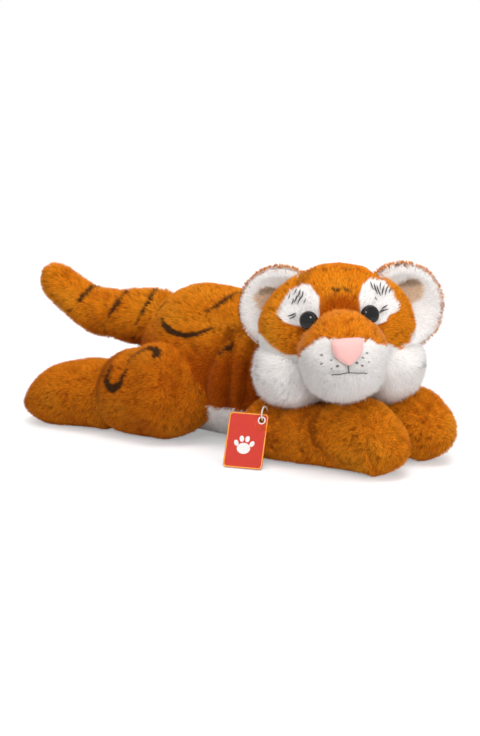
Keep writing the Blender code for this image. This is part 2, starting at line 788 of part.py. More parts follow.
def make_limbs(floor):
    orange = plush("orange_plush", ORANGE)
    for side, name in ((1, "l"), (-1, "r")):
        shoulder, wrist = shoulder_frame(side), wrist_frame(side)
        arm = object_of("arm_" + name, arm_form(side), orange, matrix=shoulder)
        splay = [d * side for d in ARM_SPLAY_DEG]
        cut(arm, [floor])
        cut(arm, relief_cutters("arm_relief_" + name, torso_form, shoulder.translation,
                                "Z", splay))
        wide, tall = PAW_SHARES[0][1] * PAW_WIDTH, PAW_SHARES[0][2] * PAW_HEIGHT
        middle = wrist.translation + Vector((0, 0, tall / 2))
        cut(arm, [socket("wrist_socket_" + name, middle, wide, tall)])
        paw = object_of("paw_" + name, paw_form(side), orange, matrix=wrist)
        cut(paw, [floor])
        hip, knee = hip_frame(side), knee_frame(side)
        thigh = object_of("thigh_" + name, thigh_form(side), orange, matrix=hip)
        splay = [-d * side for d in THIGH_SPLAY_DEG]
        cut(thigh, [floor])
        cut(thigh, relief_cutters("thigh_relief_" + name, torso_form, hip.translation,
                                  "Z", splay))
        foot = object_of("foot_" + name, foot_form(side), orange, matrix=knee)
        cut(foot, [floor])
        wide, tall = THIGH_SHARES[-1][1] * THIGH_WIDTH, THIGH_SHARES[-1][2] * THIGH_HEIGHT
        middle = knee.translation + Vector((0, 0, tall / 2))
        cut(foot, [socket("knee_socket_" + name, middle, wide, tall)])


# Tail

TAIL_BASE = Vector((TAIL_X, 0, TAIL_Z))


def tail_stations(shares, length, diameter, start):
    return [
        (
            along,
            TAIL_BASE
            + Vector((-start - along * length, -curl * TAIL_CURL, rise * TAIL_RISE)),
            thick * diameter / 2,
            thick * diameter / 2,
        )
        for along, thick, rise, curl in shares
    ]


def tail_root_form(grow=0.0):
    stations = tail_stations(TAIL_ROOT_SHARES, TAIL_ROOT_LENGTH, TAIL_ROOT_DIAMETER, 0)
    return stuffed(stations, TAIL_ROOT_CAP_SHARES, LIMB_SIDES, LIMB_RINGS, grow)


def tail_joint():
    """Where the tip turns on the root: the middle of the root's round end."""
    share = 1 - TAIL_ROOT_CAP_SHARES[1]
    end = TAIL_ROOT_SHARES[-1]
    return TAIL_BASE + Vector(
        (-share * TAIL_ROOT_LENGTH, -end[3] * TAIL_CURL * share, end[2] * TAIL_RISE)
    )


def tail_tip_form(grow=0.0):
    start = TAIL_ROOT_LENGTH - TAIL_TIP_OVERLAP
    stations = tail_stations(TAIL_TIP_SHARES, TAIL_TIP_LENGTH, TAIL_TIP_DIAMETER, start)
    return stuffed(stations, TAIL_TIP_CAP_SHARES, LIMB_SIDES, LIMB_RINGS, grow)


def make_tail():
    orange = plush("orange_plush", ORANGE)
    base = empty("tail_axis", Matrix.Translation(TAIL_BASE))
    root = object_of("tail_root", tail_root_form(), orange, base)
    cut(root, relief_cutters("tail_relief", torso_form, TAIL_BASE, "Z", TAIL_SWING_DEG))
    joint = tail_joint()
    bend = empty("tail_bend_axis", Matrix.Translation(joint))
    tip = object_of("tail_tip", tail_tip_form(), orange, bend)
    size = TAIL_ROOT_DIAMETER * TAIL_ROOT_SHARES[-1][1]
    cut(tip, [socket("tip_socket", joint, size, size)])


# Swing tag


def tag_frame():
    """The hole's centre: X along the card's width, Y out of its back, Z up the card."""
    foot = (
        Matrix.Translation((TAG_X, -TAG_Y, TAG_THICKNESS))
        @ Matrix.Rotation(math.radians(TAG_YAW_DEG), 4, "Z")
        @ Matrix.Rotation(math.radians(-TAG_LEAN_DEG), 4, "X")
    )
    hole = Vector((TAG_WIDTH / 2 - TAG_HOLE_INSET, 0, TAG_HEIGHT - TAG_HOLE_INSET))
    return foot @ Matrix.Translation(hole)


def card(width, height, corner):
    """A card with round corners, face down the -Y side, its foot at zero height."""
    bm = bmesh.new()
    outline = []
    for number, (sx, sz) in enumerate(((1, 1), (-1, 1), (-1, -1), (1, -1))):
        cx = sx * (width / 2 - corner)
        cz = height / 2 + sz * (height / 2 - corner)
        for i in range(CORNER_STEPS + 1):
            a = math.pi / 2 * (number + i / CORNER_STEPS)
            outline.append((cx + corner * math.cos(a), cz + corner * math.sin(a)))
    face = bm.faces.new([bm.verts.new((x, -TAG_THICKNESS / 2, z)) for x, z in outline])
    made = bmesh.ops.extrude_face_region(bm, geom=[face])
    verts = [v for v in made["geom"] if isinstance(v, bmesh.types.BMVert)]
    bmesh.ops.translate(bm, verts=verts, vec=(0, TAG_THICKNESS, 0))
    return bm


def loop_form():
    """A closed loop of cord standing square to the card and through its hole."""
    rx, rz, tube = LOOP_WIDTH / 2, LOOP_HEIGHT / 2, LOOP_DIAMETER / 2
    bm = bmesh.new()
    rings, sides = ROUND_SIDES, 6
    loops = []
    for i in range(rings):
        a = 2 * math.pi * i / rings
        centre = Vector((0, rx * math.cos(a), rz * math.sin(a)))
        out = Vector((0, math.cos(a) / rx, math.sin(a) / rz)).normalized()
        loops.append(
            [
                bm.verts.new(
                    centre
                    + out * tube * math.cos(2 * math.pi * j / sides)
                    + Vector((tube * math.sin(2 * math.pi * j / sides), 0, 0))
                )
                for j in range(sides)
            ]
        )
    for i in range(rings):
        near, far = loops[i], loops[(i + 1) % rings]
        for j in range(sides):
            k = (j + 1) % sides
            bm.faces.new((near[j], near[k], far[k], far[j]))
    return bm


def make_tag():
    frame = tag_frame()
    drop = Vector((-(TAG_WIDTH / 2 - TAG_HOLE_INSET), 0, TAG_HOLE_INSET - TAG_HEIGHT))
    shape = moved(card(TAG_WIDTH, TAG_HEIGHT, TAG_CORNER), Matrix.Translation(drop))
    tag = object_of("hang_tag", moved(shape, frame), material("red_card", RED, 0.35),
                    matrix=frame)
    bore = cylinder(TAG_HOLE_DIAMETER / 2, -OVERRUN, OVERRUN)
    across = Matrix.Rotation(math.radians(90), 4, "X")
    cut(tag, [guide("tag_bore", moved(bore, frame @ across))])
    # The loop's lower side passes through the hole and carries the card's upper edge.
    share = math.sqrt(1 - (2 * LOOP_BEHIND / LOOP_WIDTH) ** 2)
    slack = (TAG_HOLE_DIAMETER - LOOP_DIAMETER) / 2 - SEAM_GAP
    lift = share * LOOP_HEIGHT / 2 + slack
    place = Matrix.Translation((0, LOOP_BEHIND, lift))
    loop = object_of("tag_loop", moved(loop_form(), frame @ place),
                     material("white_cord", WHITE, 0.8), matrix=frame)
    cut(loop, [guide("loop_seam", arm_form(-1, SEAM_GAP))])


def build():
    clear_scene()
    floor = floor_cutter()
    guards = [
        guide(f"torso_guard_{degrees}",
              moved(torso_form(RUNNING_GAP), about(NECK_CENTRE, NOD_AXIS, degrees)))
        for degrees in (0, HEAD_LIFT_DEG)
    ]
    pocket = make_head(guards)
    make_torso(floor, pocket)
    make_limbs(floor)
    make_tail()
    make_tag()


build()
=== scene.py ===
"""The plush tiger dressed: stuffed skins, each with its pile of strands, face and tag."""

import math

import bpy
import numpy as np
from mathutils import Matrix, Vector
from mathutils.bvhtree import BVHTree


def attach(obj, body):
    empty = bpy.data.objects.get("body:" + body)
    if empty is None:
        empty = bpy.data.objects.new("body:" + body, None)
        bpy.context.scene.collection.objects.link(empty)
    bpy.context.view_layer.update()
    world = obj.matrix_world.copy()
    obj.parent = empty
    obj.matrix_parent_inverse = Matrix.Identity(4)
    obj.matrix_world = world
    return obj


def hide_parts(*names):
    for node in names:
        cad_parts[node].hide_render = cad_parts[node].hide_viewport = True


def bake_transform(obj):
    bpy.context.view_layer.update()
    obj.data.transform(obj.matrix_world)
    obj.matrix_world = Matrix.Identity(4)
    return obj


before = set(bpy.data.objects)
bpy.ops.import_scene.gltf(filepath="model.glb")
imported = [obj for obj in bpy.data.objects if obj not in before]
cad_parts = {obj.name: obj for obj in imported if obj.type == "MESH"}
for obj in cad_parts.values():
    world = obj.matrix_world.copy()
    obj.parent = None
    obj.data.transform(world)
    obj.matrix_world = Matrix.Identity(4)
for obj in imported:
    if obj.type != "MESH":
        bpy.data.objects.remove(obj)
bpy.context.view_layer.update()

MM = 0.001
SIDES = ((-1, "r"), (1, "l"))

# ---- forms, in the same terms and sizes as the CAD ----

TORSO_SIZE, HEAD_SIZE = (0.186, 0.118, 0.133), (0.096, 0.130, 0.112)
MUZZLE_SIZE, CHEEK_SIZE = (0.078, 0.072, 0.073), (0.072, 0.063, 0.060)
# share of the length, then width, height and shift as shares
TORSO_SHARES = (
    (0.00, 0.66, 0.86, 1.05), (0.28, 0.88, 0.98, 1.03), (0.52, 1.00, 1.00, 1.00),
    (0.70, 0.97, 0.97, 0.98), (0.86, 0.84, 0.84, 0.90), (1.00, 0.64, 0.66, 0.80),
)
HEAD_SHARES = (
    (0.00, 0.78, 0.82, 0.02), (0.45, 1.00, 1.00, 0.00),
    (0.75, 0.98, 0.96, -0.03), (1.00, 0.86, 0.80, -0.08),
)
MUZZLE_SHARES = (
    (0.00, 0.96, 0.96, 0.06), (0.40, 1.00, 1.00, 0.03),
    (0.75, 0.97, 0.94, -0.02), (1.00, 0.84, 0.78, -0.06),
)
ARM_SHARES = (
    (0.00, 0.94, 0.76, 1.06, 0.10), (0.20, 1.00, 0.67, 1.00, 0.14),
    (0.40, 0.98, 0.61, 1.00, 0.10), (0.75, 0.92, 0.60, 1.00, 0.02),
    (1.00, 0.84, 0.62, 1.00, 0.00),
)
PAW_SHARES = (
    (0.00, 0.96, 0.90, 1.00, 0.00), (0.40, 0.96, 0.90, 1.00, 0.00),
    (0.72, 1.00, 1.00, 1.00, 0.00), (1.00, 0.88, 0.86, 0.98, 0.00),
)
THIGH_SHARES = (
    (0.00, 0.86, 0.84, 1.00, 0.00), (0.35, 1.00, 1.00, 1.00, 0.02),
    (0.68, 0.92, 0.94, 1.00, 0.04), (1.00, 0.92, 0.94, 1.00, 0.04),
)
FOOT_SHARES = (
    (0.00, 1.00, 1.00, 1.00, 0.00), (0.35, 1.00, 1.00, 1.00, 0.02),
    (0.70, 0.98, 0.92, 1.00, 0.04), (1.00, 0.88, 0.72, 0.98, 0.04),
)
# share of the length, thickness, rise and curl
ROOT_SHARES = (
    (0.00, 1.00, 0.12, 0.00), (0.40, 0.98, 0.03, 0.04),
    (0.70, 0.92, 0.00, 0.11), (1.00, 0.92, -0.02, 0.18),
)
TIP_SHARES = (
    (0.00, 1.00, -0.06, 0.12), (0.35, 0.95, 0.10, 0.34),
    (0.70, 0.84, 0.56, 0.68), (1.00, 0.76, 1.10, 1.00),
)
ARM_RUN, THIGH_LENGTH, KNEE_SHARE = 0.074, 0.120, 0.29
EAR_HALF, EAR_RADIUS, LINING_SHARE = 0.00725, {-1: 0.0352, 1: 0.0362}, 0.95
BELLY_HEIGHT, BELLY_ARCH = 0.034, 0.012


def turned(angle, axis):
    return Matrix.Rotation(math.radians(angle), 4, axis)


HEAD_FRAME = (Matrix.Translation((0.0905, 0.011, 0.090))
              @ turned(-51.5, "Z") @ turned(5.3, "X") @ turned(-3, "Y"))
HEAD_CENTRE = Vector((0.040, 0, 0.019))
FACE = HEAD_FRAME @ Matrix.Translation(HEAD_CENTRE)
FACE_BACK = FACE.inverted()
TAIL_BASE = Vector((-0.070, 0, 0.096))
TAIL_JOINT = Vector((-0.12656, -0.00204, 0.0953))
UP = np.array((0, 0, 1))


def moved(points, at):
    """Points taken through a 4 x 4 matrix."""
    m = np.array(at)
    return np.asarray(points, float) @ m[:3, :3].T + m[:3, 3]


def in_face(points):
    return moved(points, FACE_BACK)


def norms(rows):
    return np.linalg.norm(rows, axis=1)


def unit(rows):
    return rows / np.maximum(norms(rows), 1e-12)[:, None]


def pushed(points, out, by):
    """Points moved along their own directions, each by its own length."""
    return points + out * by[:, None]


def apart(points, *place):
    """Distance of each point from a place in millimetres."""
    return norms(points - np.array(place) * MM)


def shell(rows, sides):
    """Faces over rings of points laid one after another, then a point for each end."""
    first, top = rows * sides, (rows - 1) * sides
    pairs = [(j, (j + 1) % sides) for j in range(sides)]
    faces = [(a + j, a + k, a + sides + k, a + sides + j)
             for a in range(0, top, sides) for j, k in pairs]
    for j, k in pairs:
        faces += [(k, j, first), (top + j, top + k, first + 1)]
    return faces


def curve_through(points, at):
    points = np.asarray(points, float)
    last = len(points) - 1
    ends = np.vstack([2 * points[0] - points[1], points, 2 * points[-1] - points[-2]])
    found = []
    for place in at:
        i = min(int(place * last), last - 1)
        u = place * last - i
        a, b, c, d = ends[i : i + 4]
        found.append(0.5 * (2 * b + (c - a) * u + (2 * a - 5 * b + 4 * c - d) * u**2
                            + (3 * b - a - 3 * c + d) * u**3))
    return np.array(found)


def rounding(place, caps):
    full = 1.0
    if place < caps[0]:
        full = math.sqrt(max(0.0, 1 - (1 - place / caps[0]) ** 2))
    if 1 - place < caps[1]:
        full = min(full, math.sqrt(max(0.0, 1 - (1 - (1 - place) / caps[1]) ** 2)))
    return full


def stuffed(stations, caps, sides, rings, at=None):
    """Points and faces of a closed bag through stations of (share, centre, half width,
    half height), rounded over a share of its length at each end."""
    shares = [s[0] for s in stations]
    rows = [[*s[1], s[2], s[3]] for s in stations]
    steps = [0.5 - 0.5 * math.cos(math.pi * i / rings) for i in range(rings + 1)]
    even = [np.interp(p, shares, np.linspace(0, 1, len(shares))) for p in steps]
    read = curve_through(rows, even)
    centres = read[:, :3]
    tangents = unit(np.gradient(centres, axis=0))
    turn = np.linspace(0, 2 * math.pi, sides, endpoint=False)
    made = []
    for i in range(1, rings):
        side = np.cross((0, 0, 1), tangents[i])
        side /= np.linalg.norm(side)
        up = np.cross(tangents[i], side)
        full = rounding(steps[i], caps)
        made.append(centres[i] + np.outer(np.cos(turn), side) * read[i, 3] * full
                    + np.outer(np.sin(turn), up) * read[i, 4] * full)
    made = np.vstack([*made, centres[:1], centres[-1:]])
    faces = shell(rings - 1, sides)
    if at is not None:
        made = moved(made, at)
        if at.determinant() < 0:
            faces = [f[::-1] for f in faces]
    return made, faces


def disc(front, back, radius, at, sides=72, rings=20):
    """A closed round form from its front and back heights at each share of the radius."""
    points, faces = [(front(0.0), 0.0, 0.0)], []
    turn = np.linspace(0, 2 * math.pi, sides, endpoint=False)
    shares = [math.sin(math.pi / 2 * i / rings) for i in range(1, rings + 1)]
    levels = [(s, front(s)) for s in shares] + [(s, back(s)) for s in shares[-2::-1]]
    for share, x in levels:
        points += [(x, share * radius * math.cos(t), share * radius * math.sin(t)) for t in turn]
    points.append((back(0.0), 0.0, 0.0))
    last = 1 + (len(levels) - 1) * sides
    for j in range(sides):
        k = (j + 1) % sides
        faces += [(1 + j, 1 + k, 0), (last + k, last + j, len(points) - 1)]
        faces += [(a + k, a + j, a + sides + j, a + sides + k) for a in range(1, last, sides)]
    return moved(points, at), faces


def bag_stations(shares, size, place):
    """Stations on the middle line; place gives a centre from the share and the rise."""
    return [(along, place(along, shift * size[2] / 2), wide * size[1] / 2, tall * size[2] / 2)
            for along, wide, tall, shift in shares]


def limb_stations(shares, length, width, height, start):
    return [
        (along, Vector((start + along * length, out * width / 2, mid * tall * height / 2)),
         wide * width / 2, tall * height / 2)
        for along, wide, tall, mid, out in shares
    ]


def tail_stations(shares, length, diameter, start):
    return [
        (along, TAIL_BASE + Vector((-start - along * length, -curl * 0.016, rise * 0.035)),
         thick * diameter / 2, thick * diameter / 2)
        for along, thick, rise, curl in shares
    ]


def shoulder_frame(side):
    yaw, ahead, out = (-1.0, 0.050, 0.038) if side < 0 else (-9.0, 0.059, 0.0335)
    return Matrix.Translation((ahead, side * out, -0.0005)) @ turned(yaw * side, "Z")


def wrist_frame(side):
    return shoulder_frame(side) @ Matrix.Translation((ARM_RUN + 0.39 * ARM_RUN, side * 0.006, 0))


def hip_frame(side):
    yaw = 5 if side < 0 else 20
    return Matrix.Translation((-0.014, side * 0.037, -0.0005)) @ turned(180 - yaw * side, "Z")


def knee_frame(side):
    back = THIGH_LENGTH - 0.018 - KNEE_SHARE * THIGH_LENGTH
    return hip_frame(side) @ Matrix.Translation((back, -side * (0.007 + 0.04 * 0.038), 0))


def ear_frame(side):
    reach, above = (0.0435, 0.0210) if side < 0 else (0.0560, 0.0130)
    place = HEAD_CENTRE + Vector((-0.0030, side * reach, above))
    return (HEAD_FRAME @ Matrix.Translation(place) @ turned(12 * side, "Z")
            @ turned((90 - 17) * -side, "X"))


def flip(side):
    return Matrix.Diagonal((1, side, 1, 1))


def across(frame_of):
    """Takes a point on the left limb to its place on the right one."""
    return frame_of(-1) @ flip(-1) @ frame_of(1).inverted()


def side_of(name):
    return -1 if name.endswith("r") else 1


# ---- noise, lines and paint ----


def lattice(i, seed):
    h = (i[..., 0] * 73856093) ^ (i[..., 1] * 19349663) ^ (i[..., 2] * 83492791)
    h = (h ^ (seed * 974634777)) & 0x7FFFFFFF
    h = ((h ^ (h >> 13)) * 1274126177) & 0x7FFFFFFF
    return ((h ^ (h >> 16)) & 65535) / 65535


def noise(points, scale, seed):
    """Smooth values from 0 to 1 at points, of a grain that large."""
    q = points / scale + 51.7 * (seed + 1)
    i = np.floor(q).astype(np.int64)
    f = q - i
    f = f * f * (3 - 2 * f)
    share = (1 - f, f)
    total = 0.0
    for x, y, z in np.ndindex(2, 2, 2):
        weight = share[x][:, 0] * share[y][:, 1] * share[z][:, 2]
        total = total + weight * lattice(i + np.array((x, y, z)), seed)
    return total


def noise_vector(points, scale, seed):
    return np.stack([noise(points, scale, seed + k) for k in (0, 7, 19)], axis=1) * 2 - 1


def wave(points, seed=31, high=3):
    """Unevenness of a seam between two colours."""
    return (noise(points, 4 * MM, seed) - 0.5) * high * MM


def smooth(low, high, value):
    t = np.clip((value - low) / (high - low), 0, 1)
    return t * t * (3 - 2 * t)


def dip(away, wide):
    """1 on a line or place and fading over that many millimetres."""
    return np.exp(-((away / (wide * MM)) ** 2))


def to_line(points, line, radii=None):
    """Distance of each point from a polyline in millimetres, less its radius there."""
    line = np.asarray(line, float) * MM
    radii = np.zeros(len(line)) if radii is None else np.asarray(radii, float) * MM
    best = np.full(len(points), 9.0)
    for a, b, ra, rb in zip(line, line[1:], radii, radii[1:]):
        d = b - a
        t = np.clip(((points - a) @ d) / (d @ d), 0, 1)
        best = np.minimum(best, norms(points - a - t[:, None] * d) - (ra + (rb - ra) * t))
    return best


def in_outline(y, z, outline):
    """How far inside an outline of (y, z) millimetres each place is; outside is negative."""
    corners = np.asarray(outline, float) * MM
    inside = np.zeros(len(y), bool)
    away = np.full(len(y), 9.0)
    for (y0, z0), (y1, z1) in zip(corners, np.roll(corners, -1, axis=0)):
        dy, dz = y1 - y0, z1 - z0
        inside ^= ((z0 > z) != (z1 > z)) & (y < dy * (z - z0) / (dz or 1e-9) + y0)
        t = np.clip(((y - y0) * dy + (z - z0) * dz) / (dy * dy + dz * dz), 0, 1)
        away = np.minimum(away, np.hypot(y - y0 - t * dy, z - z0 - t * dz))
    return np.where(inside, away, -away)


ORANGE = np.array((0.88, 0.262, 0.010))
AMBER = np.array((0.95, 0.365, 0.022))
RUST = np.array((0.52, 0.095, 0.003))
WHITE = np.array((0.92, 0.875, 0.85))
DARK = np.array((0.022, 0.016, 0.010))
GREY = np.array((0.20, 0.19, 0.19))
TAN = np.array((0.78, 0.55, 0.38))


def mirrored(line):
    return [(x, -y, z) for x, y, z in line]


# marks on the body: (line, radii) in millimetres
HOOK = [(-58.6, -37.3, 105.1), (-53, -42, 100.8), (-45, -46, 97.6), (-38.9, -48.2, 96.4),
        (-26.1, -50.6, 95.6), (-10.4, -51.1, 98.4), (2.8, -47.3, 104.5)]
DIAGONAL = [(0.7, -5.4, 131.4), (-0.6, -19.7, 128.0), (-4.5, -31.9, 121.4),
            (-12.4, -37.1, 117.0)]
SECOND = [(36, -28, 116), (33.3, -38.7, 109.1), (30.8, -45.2, 101.2), (25.7, -51.2, 93.0),
          (19.2, -55.2, 84.3)]
SPINE = [(-37.0, -11.9, 131.3), (-37.5, -4, 132.3), (-41, 4, 131.8)]
BODY_STRIPES = [
    (HOOK, (1.4, 2.8, 2.8, 2.3, 2.1, 1.8, 0.7)),
    (DIAGONAL, (1.2, 2.0, 2.2, 0.6)),
    (SECOND, (1.2, 2.8, 3.0, 3.0, 1.4)),
    (SPINE, (0.8, 1.5, 0.8)),
    (mirrored(HOOK), (1.0, 2.4, 2.6, 2.2, 2.0, 1.6, 0.5)),
    ([(3, 8, 131.2), (1, 20, 128), (-5, 32, 121), (-14, 40, 114)], (0.8, 2.0, 2.0, 0.5)),
    (mirrored(SECOND), (0.8, 2.2, 2.4, 2.2, 0.6)),
    ([(-70, 20, 118), (-66, 32, 108), (-60, 40, 96)], (0.6, 1.8, 0.5)),
    ([(-72, -14, 119), (-76, -26, 108), (-78, -34, 97)], (0.5, 1.6, 0.4)),
]
SIDE_SEAM = [(-25.9, -50.9, 94.8), (-15.5, -54.5, 87.8), (-4.9, -57.1, 80.8)]
BODY_SEAMS = [(SIDE_SEAM, (0.5, 0.6, 0.4)), (mirrored(SIDE_SEAM), (0.5, 0.6, 0.4))]
TAIL_STRIPES = [
    ([(-177.7, -23.1, 96.7), (-164.4, -23.8, 109.4), (-161.2, -16.2, 117.1),
      (-163.5, -7.0, 121.0), (-161.2, 2.2, 117.1), (-164.4, 9.8, 109.4),
      (-177.7, 9.1, 96.7)], (0.9, 2.1, 2.5, 2.5, 2.5, 2.1, 0.9)),
    ([(-133.4, -22.6, 90.2), (-127.2, -24.0, 101.3), (-123.0, -20.5, 109.5),
      (-121.0, -9.0, 116.5), (-121.5, -2.0, 117.5), (-123.0, 14.5, 109.5),
      (-127.2, 18.0, 101.3), (-133.4, 16.6, 90.2)],
     (0.7, 2.1, 2.6, 2.4, 2.4, 2.6, 2.1, 0.7)),
    ([(-97.5, -24.7, 92.6), (-89.9, -23.8, 107.0), (-87.0, -17.3, 116.3),
      (-90.5, -5.0, 122.2), (-87.0, 13.3, 116.3), (-89.9, 19.8, 107.0),
      (-97.5, 20.7, 92.6)], (0.6, 1.7, 2.2, 2.1, 2.2, 1.7, 0.6)),
]
THIGH_MARKS = [
    ([(-66.0, -70.6, 69.8), (-61.5, -66.2, 73.6), (-56.8, -61.4, 76.2), (-52.0, -58.9, 77.4),
      (-46.8, -59.0, 77.4), (-41.8, -61.8, 76.0), (-38.6, -66.0, 73.4)],
     (0.8, 1.2, 1.6, 2.0, 2.5, 2.9, 2.6)),
    ([(-85.1, -74.6, 66.0), (-86.0, -79.7, 58.7), (-85.0, -82.7, 51.7), (-80.5, -84.1, 47.8),
      (-76.0, -84.5, 47.0), (-68.9, -83.4, 51.8), (-66.5, -79.4, 60.3), (-65.5, -73.2, 68.3)],
     (0.8, 2.2, 3.0, 3.4, 3.0, 2.0, 1.4, 0.5)),
]
THIGH_OUT = np.array((-0.05, -0.70, 0.71))
ARM_MARKS = [
    ([(84.1, -47.9, 43.3), (78, -57, 41), (75, -63, 36)], (0.5, 1.3, 0.4)),
    ([(100, -36, 45), (95, -48, 43), (92, -57, 39)], (0.4, 1.1, 0.3)),
]
# marks on the head, from here on in the face's own directions
FORE = [
    ([(35.4, -3.3, 39.3), (36.8, -0.4, 37.6), (36.3, 3.8, 37.9)], (1.0, 1.7, 0.9)),
    ([(35.7, 5.5, 38.5), (36.6, 9.3, 36.6), (37.4, 12.3, 34.8)], (1.0, 1.3, 0.4)),
    ([(18.7, -12.1, 51.4), (17.9, -7.1, 52.5), (18.5, -2.2, 52.9)], (0.4, 1.2, 0.6)),
    ([(17.7, 4.4, 53.0), (18.7, 10.7, 51.6), (18.2, 17.3, 50.9)], (0.5, 1.2, 0.4)),
    ([(-12, -16, 55), (-13, 0, 56.5), (-12, 16, 55)], (0.4, 1.8, 0.4)),
    ([(-30, -22, 47), (-33, 0, 50), (-30, 22, 47)], (0.4, 1.8, 0.4)),
]
LASHES = [
    ([(36.5, -38.2, 18.9), (37.4, -35.6, 20.0), (38.1, -32.6, 20.3)], (0.3, 0.8, 0.8)),
    ([(37.6, 32.0, 15.2), (37.5, 36.6, 16.9), (36.6, 38.4, 18.2)], (0.9, 0.8, 0.3)),
]
SMUDGES = [
    ([(1.4, -69.2, -12), (8, -69, -22), (12, -69.1, -32)], (2.6, 3.4, 1.5)),
    ([(4, 70, -28), (14, 69, -34), (21.6, 64.1, -36)], (1.5, 2.6, 1.2)),
]
# brow strokes: (start, end) in (y, z) and half width
BROW_STROKES = {
    "r": [
        ((-35.6, 26.8), (-33.4, 31.4), 0.42), ((-33.4, 28.4), (-30.4, 33.6), 0.50),
        ((-31.4, 27.2), (-27.8, 33.0), 0.45), ((-30.4, 32.0), (-27.4, 37.4), 0.52),
        ((-28.2, 30.6), (-25.2, 36.4), 0.48), ((-33.0, 33.8), (-30.0, 38.4), 0.40),
        ((-37.4, 30.4), (-35.2, 34.6), 0.34), ((-33.0, 20.6), (-39.4, 18.4), 0.50),
        ((-33.2, 19.2), (-38.6, 16.2), 0.42), ((-26.4, 27.6), (-24.2, 31.6), 0.34),
    ],
    "l": [
        ((30.2, 36.6), (32.0, 28.6), 0.50), ((32.2, 35.0), (34.2, 27.0), 0.46),
        ((27.8, 38.2), (29.2, 31.8), 0.38), ((38.8, 33.8), (35.2, 27.2), 0.48),
        ((41.8, 32.6), (38.0, 27.0), 0.42), ((36.4, 36.4), (34.4, 31.2), 0.38),
        ((44.6, 31.0), (41.4, 27.4), 0.34), ((33.6, 17.0), (39.4, 19.4), 0.50),
        ((33.6, 15.4), (39.8, 16.6), 0.42), ((29.8, 27.6), (31.4, 24.4), 0.34),
    ],
}
BROW_PATCHES = [
    [(-27.6, 45.1), (-19.5, 42.7), (-15.1, 35.0), (-16.0, 24.4), (-16.6, 16.0), (-19.0, 7.0),
     (-25.9, 8.2), (-36.6, 12.2), (-46.4, 15.6), (-49.7, 20.9), (-44.6, 30.9), (-36.4, 39.7)],
    [(17.6, 31.7), (22.9, 39.9), (31.4, 43.5), (42.7, 39.2), (47.7, 30.4), (52.3, 19.6),
     (51.5, 15.1), (42.2, 12.8), (39.0, 7.8), (30.4, 5.8), (21.0, 7.0), (17.6, 17.0)],
]
HEAD_SEAMS = [
    [(11.8, -28.2, 49.0), (21.2, -37.8, 40.4), (25.2, -48.2, 27.1), (23.6, -56.6, 13.8),
     (17.0, -62.2, 2.8)],
    [(9.0, 34.0, 48.5), (11.7, 48.6, 36.4), (19.9, 56.4, 17.9), (17.1, 62.5, 2.2)],
]
# lower edges of the orange: (y, z)
CHEEK_EDGE = ((-70, 9), (-66, 6), (-62, 1), (-60, -1.7), (-52.5, -9.9), (-44.3, -14.1),
              (-37, -13.3), (-20, -14), (20, -12), (36, -11), (42, -12.5), (49.5, -18.3),
              (57.5, -14.5), (61, -10), (64, -6), (70, 2))
MUZZLE_EDGE = ((-42, -22), (-36.5, -14), (-35.3, -8.3), (-30.7, -3.4), (-23.5, 1.5),
               (-16.3, 5.3), (-12.5, 3.4), (-9, 4.0), (16, 2.4), (17.5, -2.0), (20.5, 0.8),
               (26.6, -5.0), (36, -10.5), (42, -18))
# whisker dots: (y, z, radius)
DOTS = [(-8.6, -18.6, 1.05), (8.6, -17.6, 1.0), (13.0, -20.6, 1.0), (14.0, -14.0, 0.75),
        (18.6, -18.3, 0.75), (18.0, -10.8, 0.85), (-20.4, -8.6, 0.75), (-13.4, -13.2, 0.7),
        (-20.9, -16.0, 0.7), (-13.6, -20.4, 0.65)]


def mixed(base, other, share):
    return base + (other - base) * np.reshape(share, (-1, 1))


def edge_at(y, edge):
    y_mm, z_mm = np.array(edge, float).T
    return np.interp(y, y_mm * MM, z_mm * MM)


def stripes(points, lines, seed, soft=0.9 * MM, grown=0.5 * MM):
    """How dark each place is under these marks."""
    ragged = (noise(points, 2.2 * MM, seed) - 0.5) * 1.8 * soft
    dark = np.zeros(len(points))
    for line, radii in lines:
        away = to_line(points, line, radii) + ragged - grown
        dark = np.maximum(dark, 1 - smooth(-soft, soft, away))
    return dark


def arch(points):
    """The marks on the thigh and over its joint with the rump, the same on both bags."""
    def flat(rows):
        rows = np.asarray(rows, float)
        return rows - np.outer(rows @ THIGH_OUT, THIGH_OUT)

    lines = [(flat(line), radii) for line, radii in THIGH_MARKS]
    return stripes(flat(points), lines, 21) * smooth(0.085, 0.092, points @ THIGH_OUT)


def tiger_orange(points, seed=3):
    """Orange whose pile lies lighter and darker in patches."""
    patch = noise(points, 26 * MM, seed)
    fine = noise(points, 6 * MM, seed + 1)
    colour = mixed(np.tile(ORANGE, (len(points), 1)), AMBER, smooth(0.45, 1.0, patch) * 0.5)
    colour = mixed(colour, RUST, smooth(0.50, 1.0, 0.5 * (1 - patch) + 0.5 * fine) * 0.9)
    fleck = noise(points, 1.7 * MM, seed + 2) * 0.6 + noise(points, 3.1 * MM, seed + 3) * 0.4
    return mixed(colour, RUST * 0.55, smooth(0.56, 0.80, fleck) * 0.75)


def plain_white(points):
    grey = noise(points, 12 * MM, 5)
    return np.tile(WHITE, (len(points), 1)) * (1 - 0.07 * grey)[:, None]


